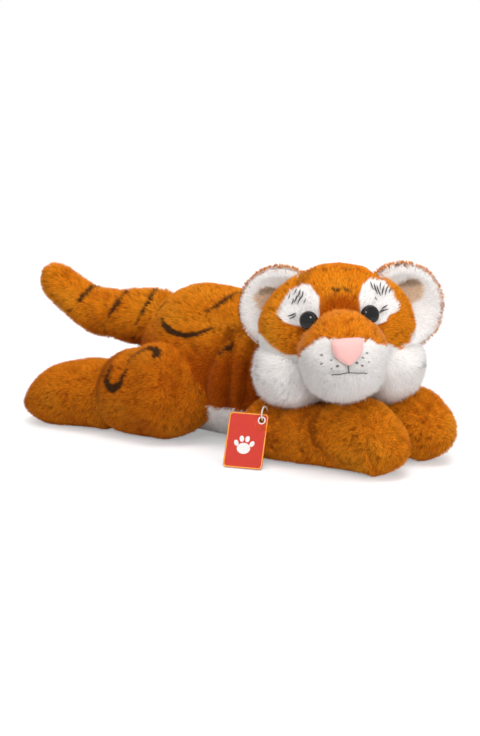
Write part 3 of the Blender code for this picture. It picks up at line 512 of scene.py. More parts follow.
def paint_head(points):
    p = in_face(points)
    x, y, z = p.T
    uneven = wave(points)
    colour = tiger_orange(points)
    front = smooth(-4 * MM, 6 * MM, x)
    # Painted shade: the recessed forehead between the brows is darkened towards rust.
    hollow = np.hypot((y - 1 * MM) / 1.3, z - 21 * MM)
    colour = mixed(colour, RUST, (1 - smooth(8 * MM, 19 * MM, hollow)) * 0.95 * front)
    # Painted shadow: a dark band just above the bridge, where the forehead meets the muzzle.
    above = np.hypot((y - 2 * MM) / 3.2, z - 15.5 * MM)
    colour = mixed(colour, RUST * 0.35, (1 - smooth(0.5 * MM, 3.4 * MM, above)) * 0.55 * front)
    for outline in BROW_PATCHES:
        inside = in_outline(y, z, outline) + uneven * 0.5
        colour = mixed(colour, WHITE, smooth(-0.8 * MM, 0.8 * MM, inside) * front)
    low = smooth(-1.2 * MM, 1.2 * MM, edge_at(y, CHEEK_EDGE) - z + uneven)
    colour = mixed(colour, WHITE, low * smooth(-22 * MM, -12 * MM, x))
    colour = mixed(colour, DARK, stripes(p, LASHES, 13, 0.5 * MM, 0.1 * MM) * 0.9)
    return mixed(colour, DARK, stripes(p, FORE, 14) * 0.85)


def paint_cheek(points):
    p = in_face(points)
    high = smooth(-1.2 * MM, 1.2 * MM, p[:, 2] - edge_at(p[:, 1], CHEEK_EDGE) - wave(points))
    front = smooth(0, 8 * MM, p[:, 0])
    colour = mixed(plain_white(points), tiger_orange(points), high * front)
    return mixed(colour, GREY, stripes(p, SMUDGES, 15, 2.4 * MM) * 0.45)


def paint_muzzle(points):
    y, z = in_face(points)[:, 1:].T
    high = z - edge_at(y, MUZZLE_EDGE) + wave(points, high=2.4) * 0.6
    colour = mixed(plain_white(points), tiger_orange(points), smooth(-0.9 * MM, 0.9 * MM, high))
    for dot_y, dot_z, radius in DOTS:
        away = np.hypot(y - dot_y * MM, z - dot_z * MM) - radius * MM
        colour = mixed(colour, DARK, (1 - smooth(-0.4 * MM, 0.4 * MM, away)) * 0.9)
    return colour


def paint_torso(points):
    colour = mixed(tiger_orange(points), RUST * 0.4,
                   stripes(points, BODY_SEAMS, 20, 0.6 * MM, 0.1 * MM) * 0.8)
    # Painted shade: lower down the flank the orange is mixed towards rust, more in some patches
    # than others, because the body's sides lie in shade.
    height = points[:, 2]
    side = smooth(-0.2, 0.8, noise(points, 14 * MM, 23) + smooth(0.104, 0.070, height) - 0.6)
    colour = mixed(colour, RUST, smooth(0.108, 0.070, height) * (0.58 + 0.4 * side))
    dark = np.maximum(stripes(points, BODY_STRIPES, 16), arch(points))
    return mixed(colour, DARK, dark * 0.93)


def paint_tail(points):
    return mixed(tiger_orange(points), DARK, stripes(points, TAIL_STRIPES, 17) * 0.93)


def paint_arm(points):
    # Painted shade: the whole sleeve is mixed towards rust because its sides lie in shade; the
    # marks after it are print.
    colour = mixed(tiger_orange(points), RUST, 0.30)
    return mixed(colour, DARK, stripes(points, ARM_MARKS, 18) * 0.45)


def paint_foot(points):
    # Painted shade: the whole foot is mixed towards rust because its sides lie in shade.
    return mixed(tiger_orange(points), RUST, 0.25)


def paint_thigh(side):
    def paint(points):
        there = points if side < 0 else moved(points, across(hip_frame))
        # Painted shade: the whole thigh is mixed towards rust because its side lies in shade.
        colour = mixed(tiger_orange(points), RUST, 0.38)
        # Painted shade: darker along the knee crease, where the thigh meets the foot.
        colour = mixed(colour, RUST * 0.45, dip(to_line(there, KNEE_LINE), 5.5) * 0.8)
        return mixed(colour, DARK, arch(there) * 0.93)

    return paint


def paint_lining(side):
    y, z = (-53.0 * MM, 30.0 * MM) if side < 0 else (64.0 * MM, 25.0 * MM)

    def paint(points):
        p = in_face(points)
        away = np.hypot((p[:, 1] - y) / 1.15, p[:, 2] - z) + wave(points, 33)
        colour = mixed(plain_white(points), TAN, 1 - smooth(9 * MM, 12.5 * MM, away))
        # Painted shade: the ear's hollow above the tan patch is darkened.
        deep = smooth(3 * MM, 8 * MM, p[:, 2] - z) * (1 - smooth(9 * MM, 12 * MM, away))
        return mixed(colour, TAN * 0.35, deep * 0.7)

    return paint


def belly_edge(x):
    """Height of the seam between the torso and its white panel."""
    return BELLY_HEIGHT - BELLY_ARCH * ((x + 0.011) / 0.113) ** 2


# ---- folds: (line in mm, half width in mm, depth in mm), a negative depth swells ----

TORSO_FOLDS = [
    ([(19, -44, 104), (16.1, -53.9, 88.9), (7.1, -59, 67), (2, -55.3, 43.7)], 5.0, 5.0),
    ([(34, -34, 111), (29, -45.7, 102), (29.6, -53.7, 81.8), (28.1, -54.5, 55.8),
      (21.9, -49, 32.1)], 5.0, 6.0),
    ([(45, -40, 96), (45.2, -50, 76), (43, -50, 58), (40.7, -47.4, 42)], 4.5, 4.0),
    (SIDE_SEAM, 2.4, 2.2),
    ([(22, -52, 84), (18, -59, 66), (14, -57, 46)], 7.0, -3.5),
    ([(38, -44, 92), (37, -54, 70), (35, -52, 48)], 6.0, -3.0),
    ([(-66, -12, 124), (-72, -30, 104), (-70, -44, 84)], 4.0, 3.0),
]
WRIST_LINE = [(126, -30, 54), (119, -50, 50), (119.1, -64.3, 34.7), (128.5, -69.4, 22.1),
              (134.5, -63.6, 9.2)]
ARM_FOLDS = [
    ([(88, -36, 46), (85.6, -55, 44), (84, -67.4, 34), (84, -73.8, 14)], 3.6, 4.2),
    ([(113, -32, 46), (108, -52, 44), (107.8, -62, 34), (111.7, -70.5, 14)], 3.8, 4.6),
    ([(97, -40, 46), (96, -58, 42), (97, -70, 26)], 7.0, -2.6),
    ([(72, -50, 48), (70, -64, 38), (70, -72, 18)], 4.0, 3.4),
    (WRIST_LINE, 4.5, 4.0),
]
PAW_FOLDS = [
    (WRIST_LINE, 4.5, 5.0),
    ([(171, -64, 47), (172.8, -69.3, 39.6), (174.7, -70.6, 30.4), (177, -68, 20.3),
      (177.5, -62.5, 11.8)], 3.0, 3.0),
    ([(162, -72, 30), (166, -72, 27)], 7.0, 2.0),
]
LEFT_PAW_FOLDS = [
    ([(167.7, -2.1, 46.2), (184.5, -3.5, 48.9), (195.7, -1.6, 45), (203.3, 1.9, 37),
      (204.8, 4.7, 26.6), (198, 12, 14)], 2.4, 2.4),
]
THIGH_FOLDS = [
    ([(-20, -62, 74), (-12, -74, 52), (-14, -76, 26)], 6.0, 2.5),
    ([(-40, -76, 66), (-36, -84, 44), (-40, -82, 22)], 14.0, -2.5),
]
KNEE_LINE = [(-90.3, -60, 73), (-95, -75.1, 62), (-99, -84, 47), (-101, -84, 30),
             (-104, -80, 14)]
FOOT_FOLDS = [(KNEE_LINE, 3.8, 4.6)]


def folded(points, folds, at=None):
    """How far in each place lies under these folds."""
    there = points if at is None else moved(points, at)
    deep = np.zeros(len(points))
    for line, wide, depth in folds:
        deep += depth * MM * dip(to_line(there, line), wide)
    return deep


# ---- skins ----

SKINS = {}
TREES = {}


def normals_of(points, faces):
    total = np.zeros_like(points)
    quads = np.array([f if len(f) == 4 else (*f, f[-1]) for f in faces])
    a, b, c, d = (points[quads[:, k]] for k in range(4))
    face = np.cross(c - a, d - b)
    tri = quads[:, 2] == quads[:, 3]
    face[tri] = np.cross(b - a, c - a)[tri]
    for k in range(4):
        use = slice(None) if k < 3 else ~tri
        np.add.at(total, quads[use, k], face[use])
    return unit(total)


def creased(paint, folds, slot):
    """An orange paint that is darker down in the folds, where little light gets."""
    if slot != "orange_plush" or not folds:
        return paint

    def shaded(points):
        deep = sum(np.maximum(folded(points, *group), 0) for group in folds)
        return mixed(paint(points), RUST * 0.45, smooth(0.5 * MM, 5.0 * MM, deep) * 0.8)

    return shaded


def skin(name, node, made, inset, paint, body, blend=None, lumps=0.8, folds=(),
         shape=None, slot="orange_plush", still=False):
    """A stuffed bag under its pile: the CAD form, in by the pile's height, lumpy and
    folded, and squashed flat where it rests. A still bag is painted by its CAD form."""
    surface, faces = made
    out = normals_of(surface, faces)
    lump = (noise(surface, 22 * MM, 41) - 0.5) * 2 + (noise(surface, 9 * MM, 43) - 0.5) * 0.8
    deep = sum(folded(surface, *group) for group in folds)
    grown = pushed(surface, out, lump * lumps * MM - deep)
    if shape:
        grown = shape(grown, out)
    under = smooth(0.35, 0.95, -out[:, 2]) * smooth(14 * MM, 4 * MM, surface[:, 2])
    bag = pushed(grown, out, -inset * (1 - 0.45 * under))
    bag[:, 2] = np.maximum(bag[:, 2], 0.9 * MM)
    SKINS[name] = dict(points=bag, faces=faces, cad=surface if still else grown, node=node,
                       paint=creased(paint, folds, slot), body=body, blend=blend, slot=slot)


def tree_of(name):
    if name not in TREES:
        points = SKINS[name]["points"]
        tree = BVHTree.FromPolygons([tuple(p) for p in points], SKINS[name]["faces"])
        TREES[name] = tree, points.min(axis=0), points.max(axis=0)
    return TREES[name]


def raised(points, grow):
    """Grown upward, as far as the chin and the cheeks leave room."""
    above = [tree_of(name)[0] for name in ("muzzle_skin", "cheek_skin_r", "cheek_skin_l")]
    for i in np.where(grow > 0.3 * MM)[0]:
        for tree in above:
            away = tree.ray_cast(Vector(points[i]), Vector((0, 0, 1)))[3]
            if away is not None:
                grow[i] = min(grow[i], max(0.0, away - 5.5 * MM))
    return grow


def reach_along(at, points):
    """How far ahead of a joint each place lies."""
    return moved(points, at.inverted())[:, 0]


def sloping(at, out):
    """How much a surface faces ahead and up."""
    return out @ (np.array(at)[:3, 0] * 0.7 + np.array((0, 0, 0.7)))


def arm_top(side, points, out):
    """The sleeve puffs up under the head."""
    x = reach_along(shoulder_frame(side), points)
    most = (5.0 + 6.0 * smooth(0.03, 0.07, x)) * MM
    part = smooth(-0.004, 0.014, x) * smooth(0.125, 0.080, x)
    return pushed(points, out, raised(points, smooth(0.0, 0.8, out[:, 2]) * part * most))


def paw_top(side, points, out):
    """The paw stands high at the wrist, slopes down ahead and spreads on the floor."""
    slope, drop = (5.0, 5.0) if side < 0 else (4.0, 3.5)
    at = wrist_frame(side)
    x = reach_along(at, points)
    grow = smooth(0.0, 0.8, out[:, 2]) * smooth(0.022, -0.006, x) * 6.0 * MM
    points = pushed(points, out, raised(points, grow))
    points = pushed(points, out, -smooth(0.35, 0.95, sloping(at, out)) * slope * MM)
    return pushed(points, UP, -smooth(0.000, 0.040, x) * drop * MM)


def foot_end(side, points, out):
    """The foot's end lies lower than its heel and flattens on the floor."""
    at = knee_frame(side)
    x = reach_along(at, points)
    points = pushed(points, out, -smooth(0.45, 0.98, sloping(at, out)) * 3.0 * MM)
    return pushed(points, UP, -smooth(0.045, 0.112, x) * 7.5 * MM)


def haunch(side, points, out):
    """The thigh's top runs up into the rump without a deep crease."""
    part = smooth(0.085, 0.035, reach_along(hip_frame(side), points))
    return pushed(points, out, smooth(0.15, 0.85, out[:, 2]) * part * 4.5 * MM)


def tail_start(points, out):
    """The tip is as thick as the root where they meet, and full below."""
    near = smooth(-0.168, -0.138, points[:, 0]) * 3.4
    low = smooth(-0.2, 0.8, -out[:, 2]) * 4.2
    return pushed(points, out, np.maximum(near, low) * MM)


def tail_rest(points, out):
    """The root is fuller below, away from the rump."""
    low = smooth(-0.2, 0.8, -out[:, 2]) * smooth(-0.085, -0.110, points[:, 0]) * 2.6
    return pushed(points, out, low * MM)


def cheek_shape(points, out):
    """Fuller below."""
    return pushed(points, out, smooth(0.2, 0.9, -out[:, 2]) * (2.5 * MM))


def split_belly(side, points, out):
    """Draws the other panel's part in, so that each panel is a closed bag of its own."""
    away = side * (points[:, 2] - belly_edge(points[:, 0]))
    return pushed(points, out, -smooth(-0.5 * MM, 3.5 * MM, away) * 5 * MM)


def head_shape(points, out):
    """Sunk in at the seams and round the eyes."""
    p = in_face(points)
    deep = 0.0
    for line in HEAD_SEAMS:
        deep = deep + 2.6 * MM * dip(to_line(p, line), 2.6)
    for eye in (-25.0, 25.0):
        deep = deep + 2.4 * MM * dip(apart(p, 38.5, eye, 16.6), 11)
    return pushed(points, out, -deep)


def muzzle_shape(points, out):
    """Sunk in at the mouth, swollen beside it."""
    p = in_face(points)
    deep = 1.6 * MM * dip(to_line(p, [(78, 0, -16), (80, 0, -25)]), 3.0)
    deep = deep + 1.2 * MM * dip(to_line(p, [(74, -13, -25), (78, 0, -25.4), (74, 14, -26)]), 2.6)
    for side in (-1, 1):
        deep = deep - 1.5 * MM * dip(apart(p, 70.0, side * 15.0, -16.0), 11)
    return pushed(points, out, -deep)


# stations, rounded share of each end, joint, step sideways, hand, piece above, reach of
# the blend, folds, shape
LIMBS = {
    "arm": ((ARM_SHARES, 0.108, 0.059, 0.072, -0.010), (0.22, 0.16), shoulder_frame,
            0.006, 1, "torso", 0.016, ARM_FOLDS, arm_top),
    "paw": ((PAW_SHARES, 0.086, 0.060, 0.062, -0.042), (0.34, 0.38), wrist_frame,
            0.0, 1, "arm", 0.014, PAW_FOLDS, paw_top),
    "thigh": ((THIGH_SHARES, THIGH_LENGTH, 0.076, 0.083, -0.018), (0.40, 0.29), hip_frame,
              -0.007, -1, "torso", 0.018, THIGH_FOLDS, haunch),
    "foot": ((FOOT_SHARES, 0.108, 0.060, 0.067, KNEE_SHARE * THIGH_LENGTH - 0.026),
             (0.16, 0.36), knee_frame, 0.0, -1, "thigh", 0.016, FOOT_FOLDS, foot_end),
}


def limb_skin(kind, side, letter, sides, rings, paint):
    form, caps, frame_of, step, hand, above, reach, folds, shape = LIMBS[kind]
    pivot = frame_of(side)
    at = pivot @ Matrix.Translation((0, side * step, 0)) @ flip(side * hand)
    made = stuffed(limb_stations(*form), caps, sides, rings, at)
    ahead = pivot.to_3x3() @ Vector((reach, 0, 0))
    middle = pivot.translation
    above = above if above == "torso" else f"{above}_{letter}"
    groups = [(folds, across(frame_of) if side > 0 else None)]
    if kind == "paw" and side > 0:
        groups.append((LEFT_PAW_FOLDS, None))
    skin(f"{kind}_skin_{letter}", f"{kind}_{letter}", made, 4.4 * MM, paint,
         f"{kind}_{letter}", (above, f"{kind}_{letter}", middle - ahead, middle + ahead),
         0.9, groups, lambda points, out: shape(side, points, out), still=True)


def dished(share, depth, wide, power, lift):
    """Height of an ear's face at a share of its radius, hollow in the middle."""
    hollow = depth * math.cos(min(1.0, share / wide) * math.pi / 2) ** power
    return ear_rim(share) - hollow + lift


def ear_rim(share):
    return EAR_HALF * math.sqrt(max(0.0, 1 - share**2))


def ear_front(share):
    return dished(share, 0.0085, 0.82, 0.8, -0.0010)


def make_skins():
    fine = 1.0

    def grid(sides, rings):
        return int(sides * fine) // 2 * 2, int(rings * fine)

    def in_head(centre, length):
        return lambda share, rise: centre + Vector(((share - 0.5) * length, 0, rise))

    torso = bag_stations(TORSO_SHARES, TORSO_SIZE, lambda share, rise: Vector(
        (share * TORSO_SIZE[0] - 0.104, 0, rise - 0.0005)))
    made = stuffed(torso, (0.34, 0.34), *grid(150, 100))
    folds = [(TORSO_FOLDS,)]
    skin("torso_skin", "torso", made, 4.6 * MM, paint_torso, "torso", lumps=1.2, folds=folds,
         shape=lambda points, out: split_belly(-1, points, out))
    skin("belly_skin", "belly_panel", made, 4.2 * MM, plain_white, "torso", lumps=1.0,
         folds=folds, shape=lambda points, out: split_belly(1, points, out),
         slot="white_plush")
    neck = [
        (0.0, (0.038, 0, 0.068), 0.044, 0.044), (0.35, (0.063, 0.003, 0.0765), 0.0455, 0.0455),
        (0.7, (0.0890, 0.0105, 0.087), 0.0395, 0.0395), (1.0, (0.112, 0.017, 0.095), 0.031, 0.031),
    ]
    neck = [(share, Vector(place), wide, tall) for share, place, wide, tall in neck]
    skin("neck_skin", "neck", stuffed(neck, (0.34, 0.40), *grid(72, 48)), 4.0 * MM,
         paint_torso, "neck",
         ("torso", "neck", Vector((0.062, 0.002, 0.082)), Vector((0.096, 0.012, 0.091))))
    head = bag_stations(HEAD_SHARES, HEAD_SIZE, in_head(HEAD_CENTRE, HEAD_SIZE[0]))
    made = stuffed(head, (0.46, 0.42), *grid(140, 96), HEAD_FRAME)
    skin("head_skin", "head", made, 3.8 * MM, paint_head, "head", shape=head_shape)
    for (side, letter), drop in zip(SIDES, (0.029, 0.0315)):
        centre = HEAD_CENTRE + Vector((-0.001, side * 0.0405, -drop))
        ahead = Vector((CHEEK_SIZE[0] / 2, 0, 0))
        cheek = [(0.5 + 0.5 * k, centre + k * ahead, CHEEK_SIZE[1] / 2, CHEEK_SIZE[2] / 2)
                 for k in (-1, 0, 1)]
        skin(f"cheek_skin_{letter}", f"cheek_{letter}",
             stuffed(cheek, (0.5, 0.5), *grid(84, 56), HEAD_FRAME), 5.0 * MM, paint_cheek,
             "head", lumps=1.2, shape=cheek_shape, slot="white_plush")
    centre = HEAD_CENTRE + Vector((0.040, 0, -0.0145))
    muzzle = bag_stations(MUZZLE_SHARES, MUZZLE_SIZE, in_head(centre, MUZZLE_SIZE[0]))
    made = stuffed(muzzle, (0.30, 0.40), *grid(110, 80), HEAD_FRAME)
    skin("muzzle_skin", "muzzle", made, 3.0 * MM, paint_muzzle, "head", lumps=0.5,
         shape=muzzle_shape, slot="white_plush")
    for side, letter in SIDES:
        at, radius = ear_frame(side), EAR_RADIUS[side]
        made = disc(ear_front, lambda share: -ear_rim(share), radius, at)
        skin(f"ear_skin_{letter}", f"ear_{letter}", made, 2.4 * MM, tiger_orange, "head",
             lumps=0.4)
        made = disc(lambda share: dished(share * LINING_SHARE, 0.0090, 0.74, 0.9, 0.0005),
                    lambda share: ear_front(share * LINING_SHARE) - 0.0030,
                    radius * LINING_SHARE, at)
        skin(f"ear_lining_skin_{letter}", f"ear_lining_{letter}", made, 2.0 * MM,
             paint_lining(side), "head", lumps=0.4, slot="white_plush")
        for kind, size, paint in (("arm", (90, 72), paint_arm), ("paw", (90, 64), tiger_orange),
                                  ("thigh", (110, 80), paint_thigh(side)),
                                  ("foot", (90, 72), paint_foot)):
            limb_skin(kind, side, letter, *grid(*size), paint)
    made = stuffed(tail_stations(ROOT_SHARES, 0.080, 0.051, 0), (0.20, 0.293), *grid(80, 60))
    skin("tail_root_skin", "tail_root", made, 4.6 * MM, paint_tail, "tail_root",
         ("torso", "tail_root", TAIL_BASE + Vector((0.008, 0, 0)),
          TAIL_BASE - Vector((0.016, 0, 0))), lumps=1.4, shape=tail_rest, still=True)
    made = stuffed(tail_stations(TIP_SHARES, 0.083, 0.041, 0.062), (0.08, 0.22), *grid(70, 60))
    skin("tail_tip_skin", "tail_tip", made, 4.6 * MM, paint_tail, "tail_tip",
         ("tail_root", "tail_tip", TAIL_JOINT + Vector((0.010, 0, 0)),
          TAIL_JOINT - Vector((0.012, 0, 0))), lumps=1.4, shape=tail_start, still=True)


# ---- materials ----


def put(made, **values):
    for key, value in values.items():
        made.inputs[key.replace("_", " ")].default_value = value
    return made


def node(tree, kind, **values):
    return put(tree.nodes.new("ShaderNode" + kind), **values)


def nodes_of(name):
    made = bpy.data.materials.new(name)
    made.use_nodes = True
    return made, made.node_tree, made.node_tree.nodes["Principled BSDF"]


def ranged(tree, value, *, low=0.0, high=1.0, start, end):
    """A value that runs from low to high, made to run from start to end."""
    made = node(tree, "MapRange", From_Min=low, From_Max=high, To_Min=start, To_Max=end)
    tree.links.new(value, made.inputs["Value"])
    return made.outputs["Result"]


def attribute(tree, name):
    made = node(tree, "Attribute")
    made.attribute_name = name
    return made


def grained(tree, shader, colour, scale, detail, darkest, lightest):
    """Base colour made darker and lighter by fine noise in the piece's own space."""
    place = node(tree, "TexCoord")
    fine = node(tree, "TexNoise", Scale=scale, Detail=detail, Roughness=0.6)
    tree.links.new(place.outputs["Object"], fine.inputs["Vector"])
    swing = ranged(tree, fine.outputs["Fac"], low=0.3, high=0.7, start=darkest, end=lightest)
    mix = node(tree, "Mix")
    mix.data_type, mix.blend_type = "RGBA", "MULTIPLY"
    put(mix, Factor=1.0)
    tree.links.new(colour, mix.inputs["A"])
    tree.links.new(swing, mix.inputs["B"])
    tree.links.new(mix.outputs["Result"], shader.inputs["Base Color"])
    return fine.outputs["Fac"]


def bumped(tree, shader, value, strength, distance):
    bump = node(tree, "Bump", Strength=strength, Distance=distance)
    tree.links.new(value, bump.inputs["Height"])
    tree.links.new(bump.outputs["Normal"], shader.inputs["Normal"])


def pile_material(name, sheen, tint):
    """Strand colour from the painted pile, lit as the bag under it is."""
    made, tree, shader = nodes_of(name)
    grained(tree, shader, attribute(tree, "Pile").outputs["Color"], 900.0, 2.0, 0.90, 1.10)
    put(shader, Roughness=0.82, Specular_IOR_Level=0.06, Sheen_Weight=sheen,
        Sheen_Roughness=0.45, Sheen_Tint=(*tint, 1))
    turn = node(tree, "VectorTransform")
    turn.vector_type, turn.convert_from, turn.convert_to = "NORMAL", "OBJECT", "WORLD"
    tree.links.new(attribute(tree, "Out").outputs["Vector"], turn.inputs["Vector"])
    tree.links.new(turn.outputs["Vector"], shader.inputs["Normal"])
    return made


def backing_material(name, low):
    """The knitted backing and the pile's roots, under the strands."""
    made, tree, shader = nodes_of(name)
    colour = attribute(tree, "Pile").outputs["Color"]
    fine = grained(tree, shader, colour, 520.0, 6.0, low, 1.05)
    put(shader, Roughness=0.95, Specular_IOR_Level=0.15)
    bumped(tree, shader, fine, 0.9, 0.0012)
    return made


# colour, roughness, scale of the grain, its darkest and lightest, strength and height of
# its bump, what else the shader has
FINISHES = {
    "eye_gloss": ((0.005, 0.004, 0.004), 0.06, 80, 0.9, 1.1, 0.0, 0.0001,
                  {"Specular_IOR_Level": 0.32}),
    "eye_ring_brown": ((0.045, 0.030, 0.024), 0.22, 400, 0.8, 1.2, 0.05, 0.0001,
                       {"Specular_IOR_Level": 0.4}),
    "nose_velvet": ((0.97, 0.54, 0.50), 0.85, 1500, 0.90, 1.06, 0.45, 0.0003,
                    {"Sheen_Weight": 0.5, "Sheen_Roughness": 0.4}),
    "mouth_cotton": ((0.030, 0.028, 0.030), 0.75, 1500, 0.8, 1.3, 0.4, 0.0002, {}),
    "brow_ink": ((0.055, 0.050, 0.048), 0.9, 1500, 0.7, 1.3, 0.3, 0.0002, {}),
    "tag_yellow": ((0.90, 0.46, 0.05), 0.4, 300, 0.94, 1.05, 0.05, 0.0001, {}),
    "tag_white": ((0.86, 0.85, 0.82), 0.4, 300, 0.95, 1.04, 0.05, 0.0001, {}),
    "tag_cotton": ((0.84, 0.83, 0.80), 0.85, 1200, 0.85, 1.05, 0.4, 0.0002, {}),
    "washer_nylon": ((0.80, 0.79, 0.76), 0.42, 300, 0.94, 1.04, 0.1, 0.0003, {}),
    "red_card_coated": ((0.60, 0.024, 0.007), 0.34, 260, 0.93, 1.05, 0.12, 0.0002,
                        {"Coat_Weight": 0.35, "Coat_Roughness": 0.25}),
}


def plain_material(name):
    colour, rough, scale, darkest, lightest, strength, height, more = FINISHES[name]
    made, tree, shader = nodes_of(name)
    base = node(tree, "RGB")
    base.outputs[0].default_value = (*colour, 1)
    fine = grained(tree, shader, base.outputs[0], scale, 4.0, darkest, lightest)
    put(shader, Roughness=rough, **more)
    bumped(tree, shader, fine, strength, height)
    return made


# ---- meshes ----


def linked(name, mesh, finish):
    mesh.materials.append(finish)
    made = bpy.data.objects.new(name, mesh)
    bpy.context.scene.collection.objects.link(made)
    return made


def mesh_object(name, points, faces, finish, smooth_shade=True):
    mesh = bpy.data.meshes.new(name)
    mesh.from_pydata([tuple(p) for p in np.asarray(points, float)], [], faces)
    mesh.update()
    if smooth_shade:
        mesh.shade_smooth()
    return linked(name, mesh, finish)


def set_pile(mesh, colours):
    layer = mesh.attributes.new("Pile", "FLOAT_COLOR", "POINT")
    rows = np.ones((len(colours), 4), np.float32)
    rows[:, :3] = np.clip(colours, 0, 1)
    layer.data.foreach_set("color", rows.ravel())


def carried(obj, facts):
    if facts["blend"]:
        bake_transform(obj)
    else:
        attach(obj, facts["body"])


def make_skin_objects():
    warm, pale = backing_material("plush_backing", 0.60), backing_material("white_backing", 0.86)
    for name, s in SKINS.items():
        finish = pale if s["slot"] == "white_plush" else warm
        obj = mesh_object(name, s["points"], s["faces"], finish)
        colour = s["paint"](s["cad"])
        # Painted shade: the bag under the pile is darkened as the shade among the roots, less
        # where the colour is pale and on the ears.
        light = smooth(0.35, 0.8, colour.mean(axis=1))
        lift = 0.25 if name.startswith("ear") else 0.0
        set_pile(obj.data, colour * (0.60 + lift + (0.30 - lift) * light)[:, None])
        carried(obj, s)
        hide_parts(s["node"])


# ---- pile ----

# length in mm, lean in degrees, strands per square mm, width at the root in mm
PILE = {
    "torso_skin": (4.8, 27, 2.1, 0.46), "belly_skin": (5.0, 42, 1.2, 0.50),
    "neck_skin": (4.8, 30, 1.2, 0.52), "head_skin": (4.4, 34, 2.4, 0.44),
    "cheek_skin": (9.0, 46, 2.0, 0.50), "muzzle_skin": (4.6, 40, 3.2, 0.38),
    "ear_skin": (6.2, 40, 4.2, 0.50), "ear_lining_skin": (7.5, 55, 2.4, 0.46),
    "arm_skin_r": (4.8, 28, 2.2, 0.46), "arm_skin_l": (5.0, 32, 1.2, 0.52),
    "paw_skin_r": (5.0, 32, 2.2, 0.46), "paw_skin_l": (5.0, 32, 2.0, 0.48),
    "thigh_skin_r": (4.8, 27, 2.1, 0.46), "thigh_skin_l": (5.0, 32, 1.1, 0.55),
    "foot_skin_r": (4.8, 27, 2.1, 0.46), "foot_skin_l": (5.0, 32, 1.1, 0.55),
    "tail_root_skin": (6.4, 34, 2.1, 0.50), "tail_tip_skin": (6.4, 34, 2.1, 0.50),
}


def nap_of(name, points):
    """Which way the pile lies."""
    if name.startswith(("head", "muzzle", "cheek")):
        away = in_face(points) - np.array((75.0, 0.0, -6.0)) * MM
        flow = away @ np.array(FACE.to_3x3()).T
        return flow + np.array((0, 0, -0.03)) if name.startswith("cheek") else flow
    if name.startswith("ear"):
        at = ear_at(name)
        flow = points - at[:3, 3]
        return flow - at[:3, 0] * 0.012 if name.startswith("ear_skin") else flow
    flow = (-1.0, 0.0, -0.55)
    if name.startswith(("arm", "paw")):
        ahead = np.array(shoulder_frame(side_of(name)))[:3, 0]
        flow = np.array((0, 0, -0.8)) - ahead * 0.5
    elif name.startswith("tail"):
        flow = (-1.0, -0.1, -0.15)
    return np.tile(flow, (len(points), 1))


def buried(name, points, deeper):
    """Which roots lie inside another bag."""
    hidden = np.zeros(len(points), bool)
    for other in SKINS:
        if other == name or {name, other} == {"torso_skin", "belly_skin"}:
            continue
        tree, low, high = tree_of(other)
        near = np.where(~hidden & (points > low).all(axis=1) & (points < high).all(axis=1))[0]
        for i in near:
            at, out, _, away = tree.find_nearest(Vector(points[i]))
            if away > deeper and (Vector(points[i]) - at).dot(out) < 0:
                hidden[i] = True
    return hidden


# the middle of each eye in the face's own millimetres
EYES = ((39.0, -25.0, 15.8), (39.0, 25.0, 15.8))


def ear_at(name):
    return np.array(ear_frame(side_of(name)))


def nude(name, surface):
    """Where no pile grows: under the nose and the eyes."""
    p = in_face(surface)
    bare = np.zeros(len(surface), bool)
    if name in ("muzzle_skin", "head_skin"):
        for eye in EYES:
            bare |= apart(p, *eye) < 7.2 * MM
    if name == "muzzle_skin":
        x, y, z = p.T
        narrow = 0.5 + 0.5 * np.clip((z + 7.5 * MM) / (10.8 * MM), -1, 1)
        wide = (0.30 + 0.62 * narrow) * 15 * MM
        bare |= ((np.abs(y - 1.2 * MM) < wide) & (np.abs(z + 7.5 * MM) < 9.8 * MM)
                 & (x > 50 * MM))
    return bare


def shortness(name, surface):
    """Where the pile is trimmed: by the nose, the mouth and the eyes, at an ear's rim."""
    full = np.ones(len(surface))
    if name in ("muzzle_skin", "head_skin"):
        p = in_face(surface)
        full = 0.55 + 0.45 * smooth(12 * MM, 30 * MM, apart(p, 78.0, 0.0, -14.0))
        full = full + 0.9 * smooth(-22 * MM, -40 * MM, p[:, 2])
        for eye in EYES:
            full = full * (0.6 + 0.4 * smooth(8 * MM, 16 * MM, apart(p, *eye)))
    if name.startswith("ear_lining"):
        reach = norms(surface - ear_at(name)[:3, 3])
        full = 1 - 0.50 * smooth(25 * MM, 33 * MM, reach)
    return full


def across_only(rows, normal):
    """What of each row runs along the surface."""
    return rows - normal * (rows * normal).sum(axis=1)[:, None]


def leaning(normal, lie, angle):
    return normal * np.cos(angle)[:, None] + lie * np.sin(angle)[:, None]


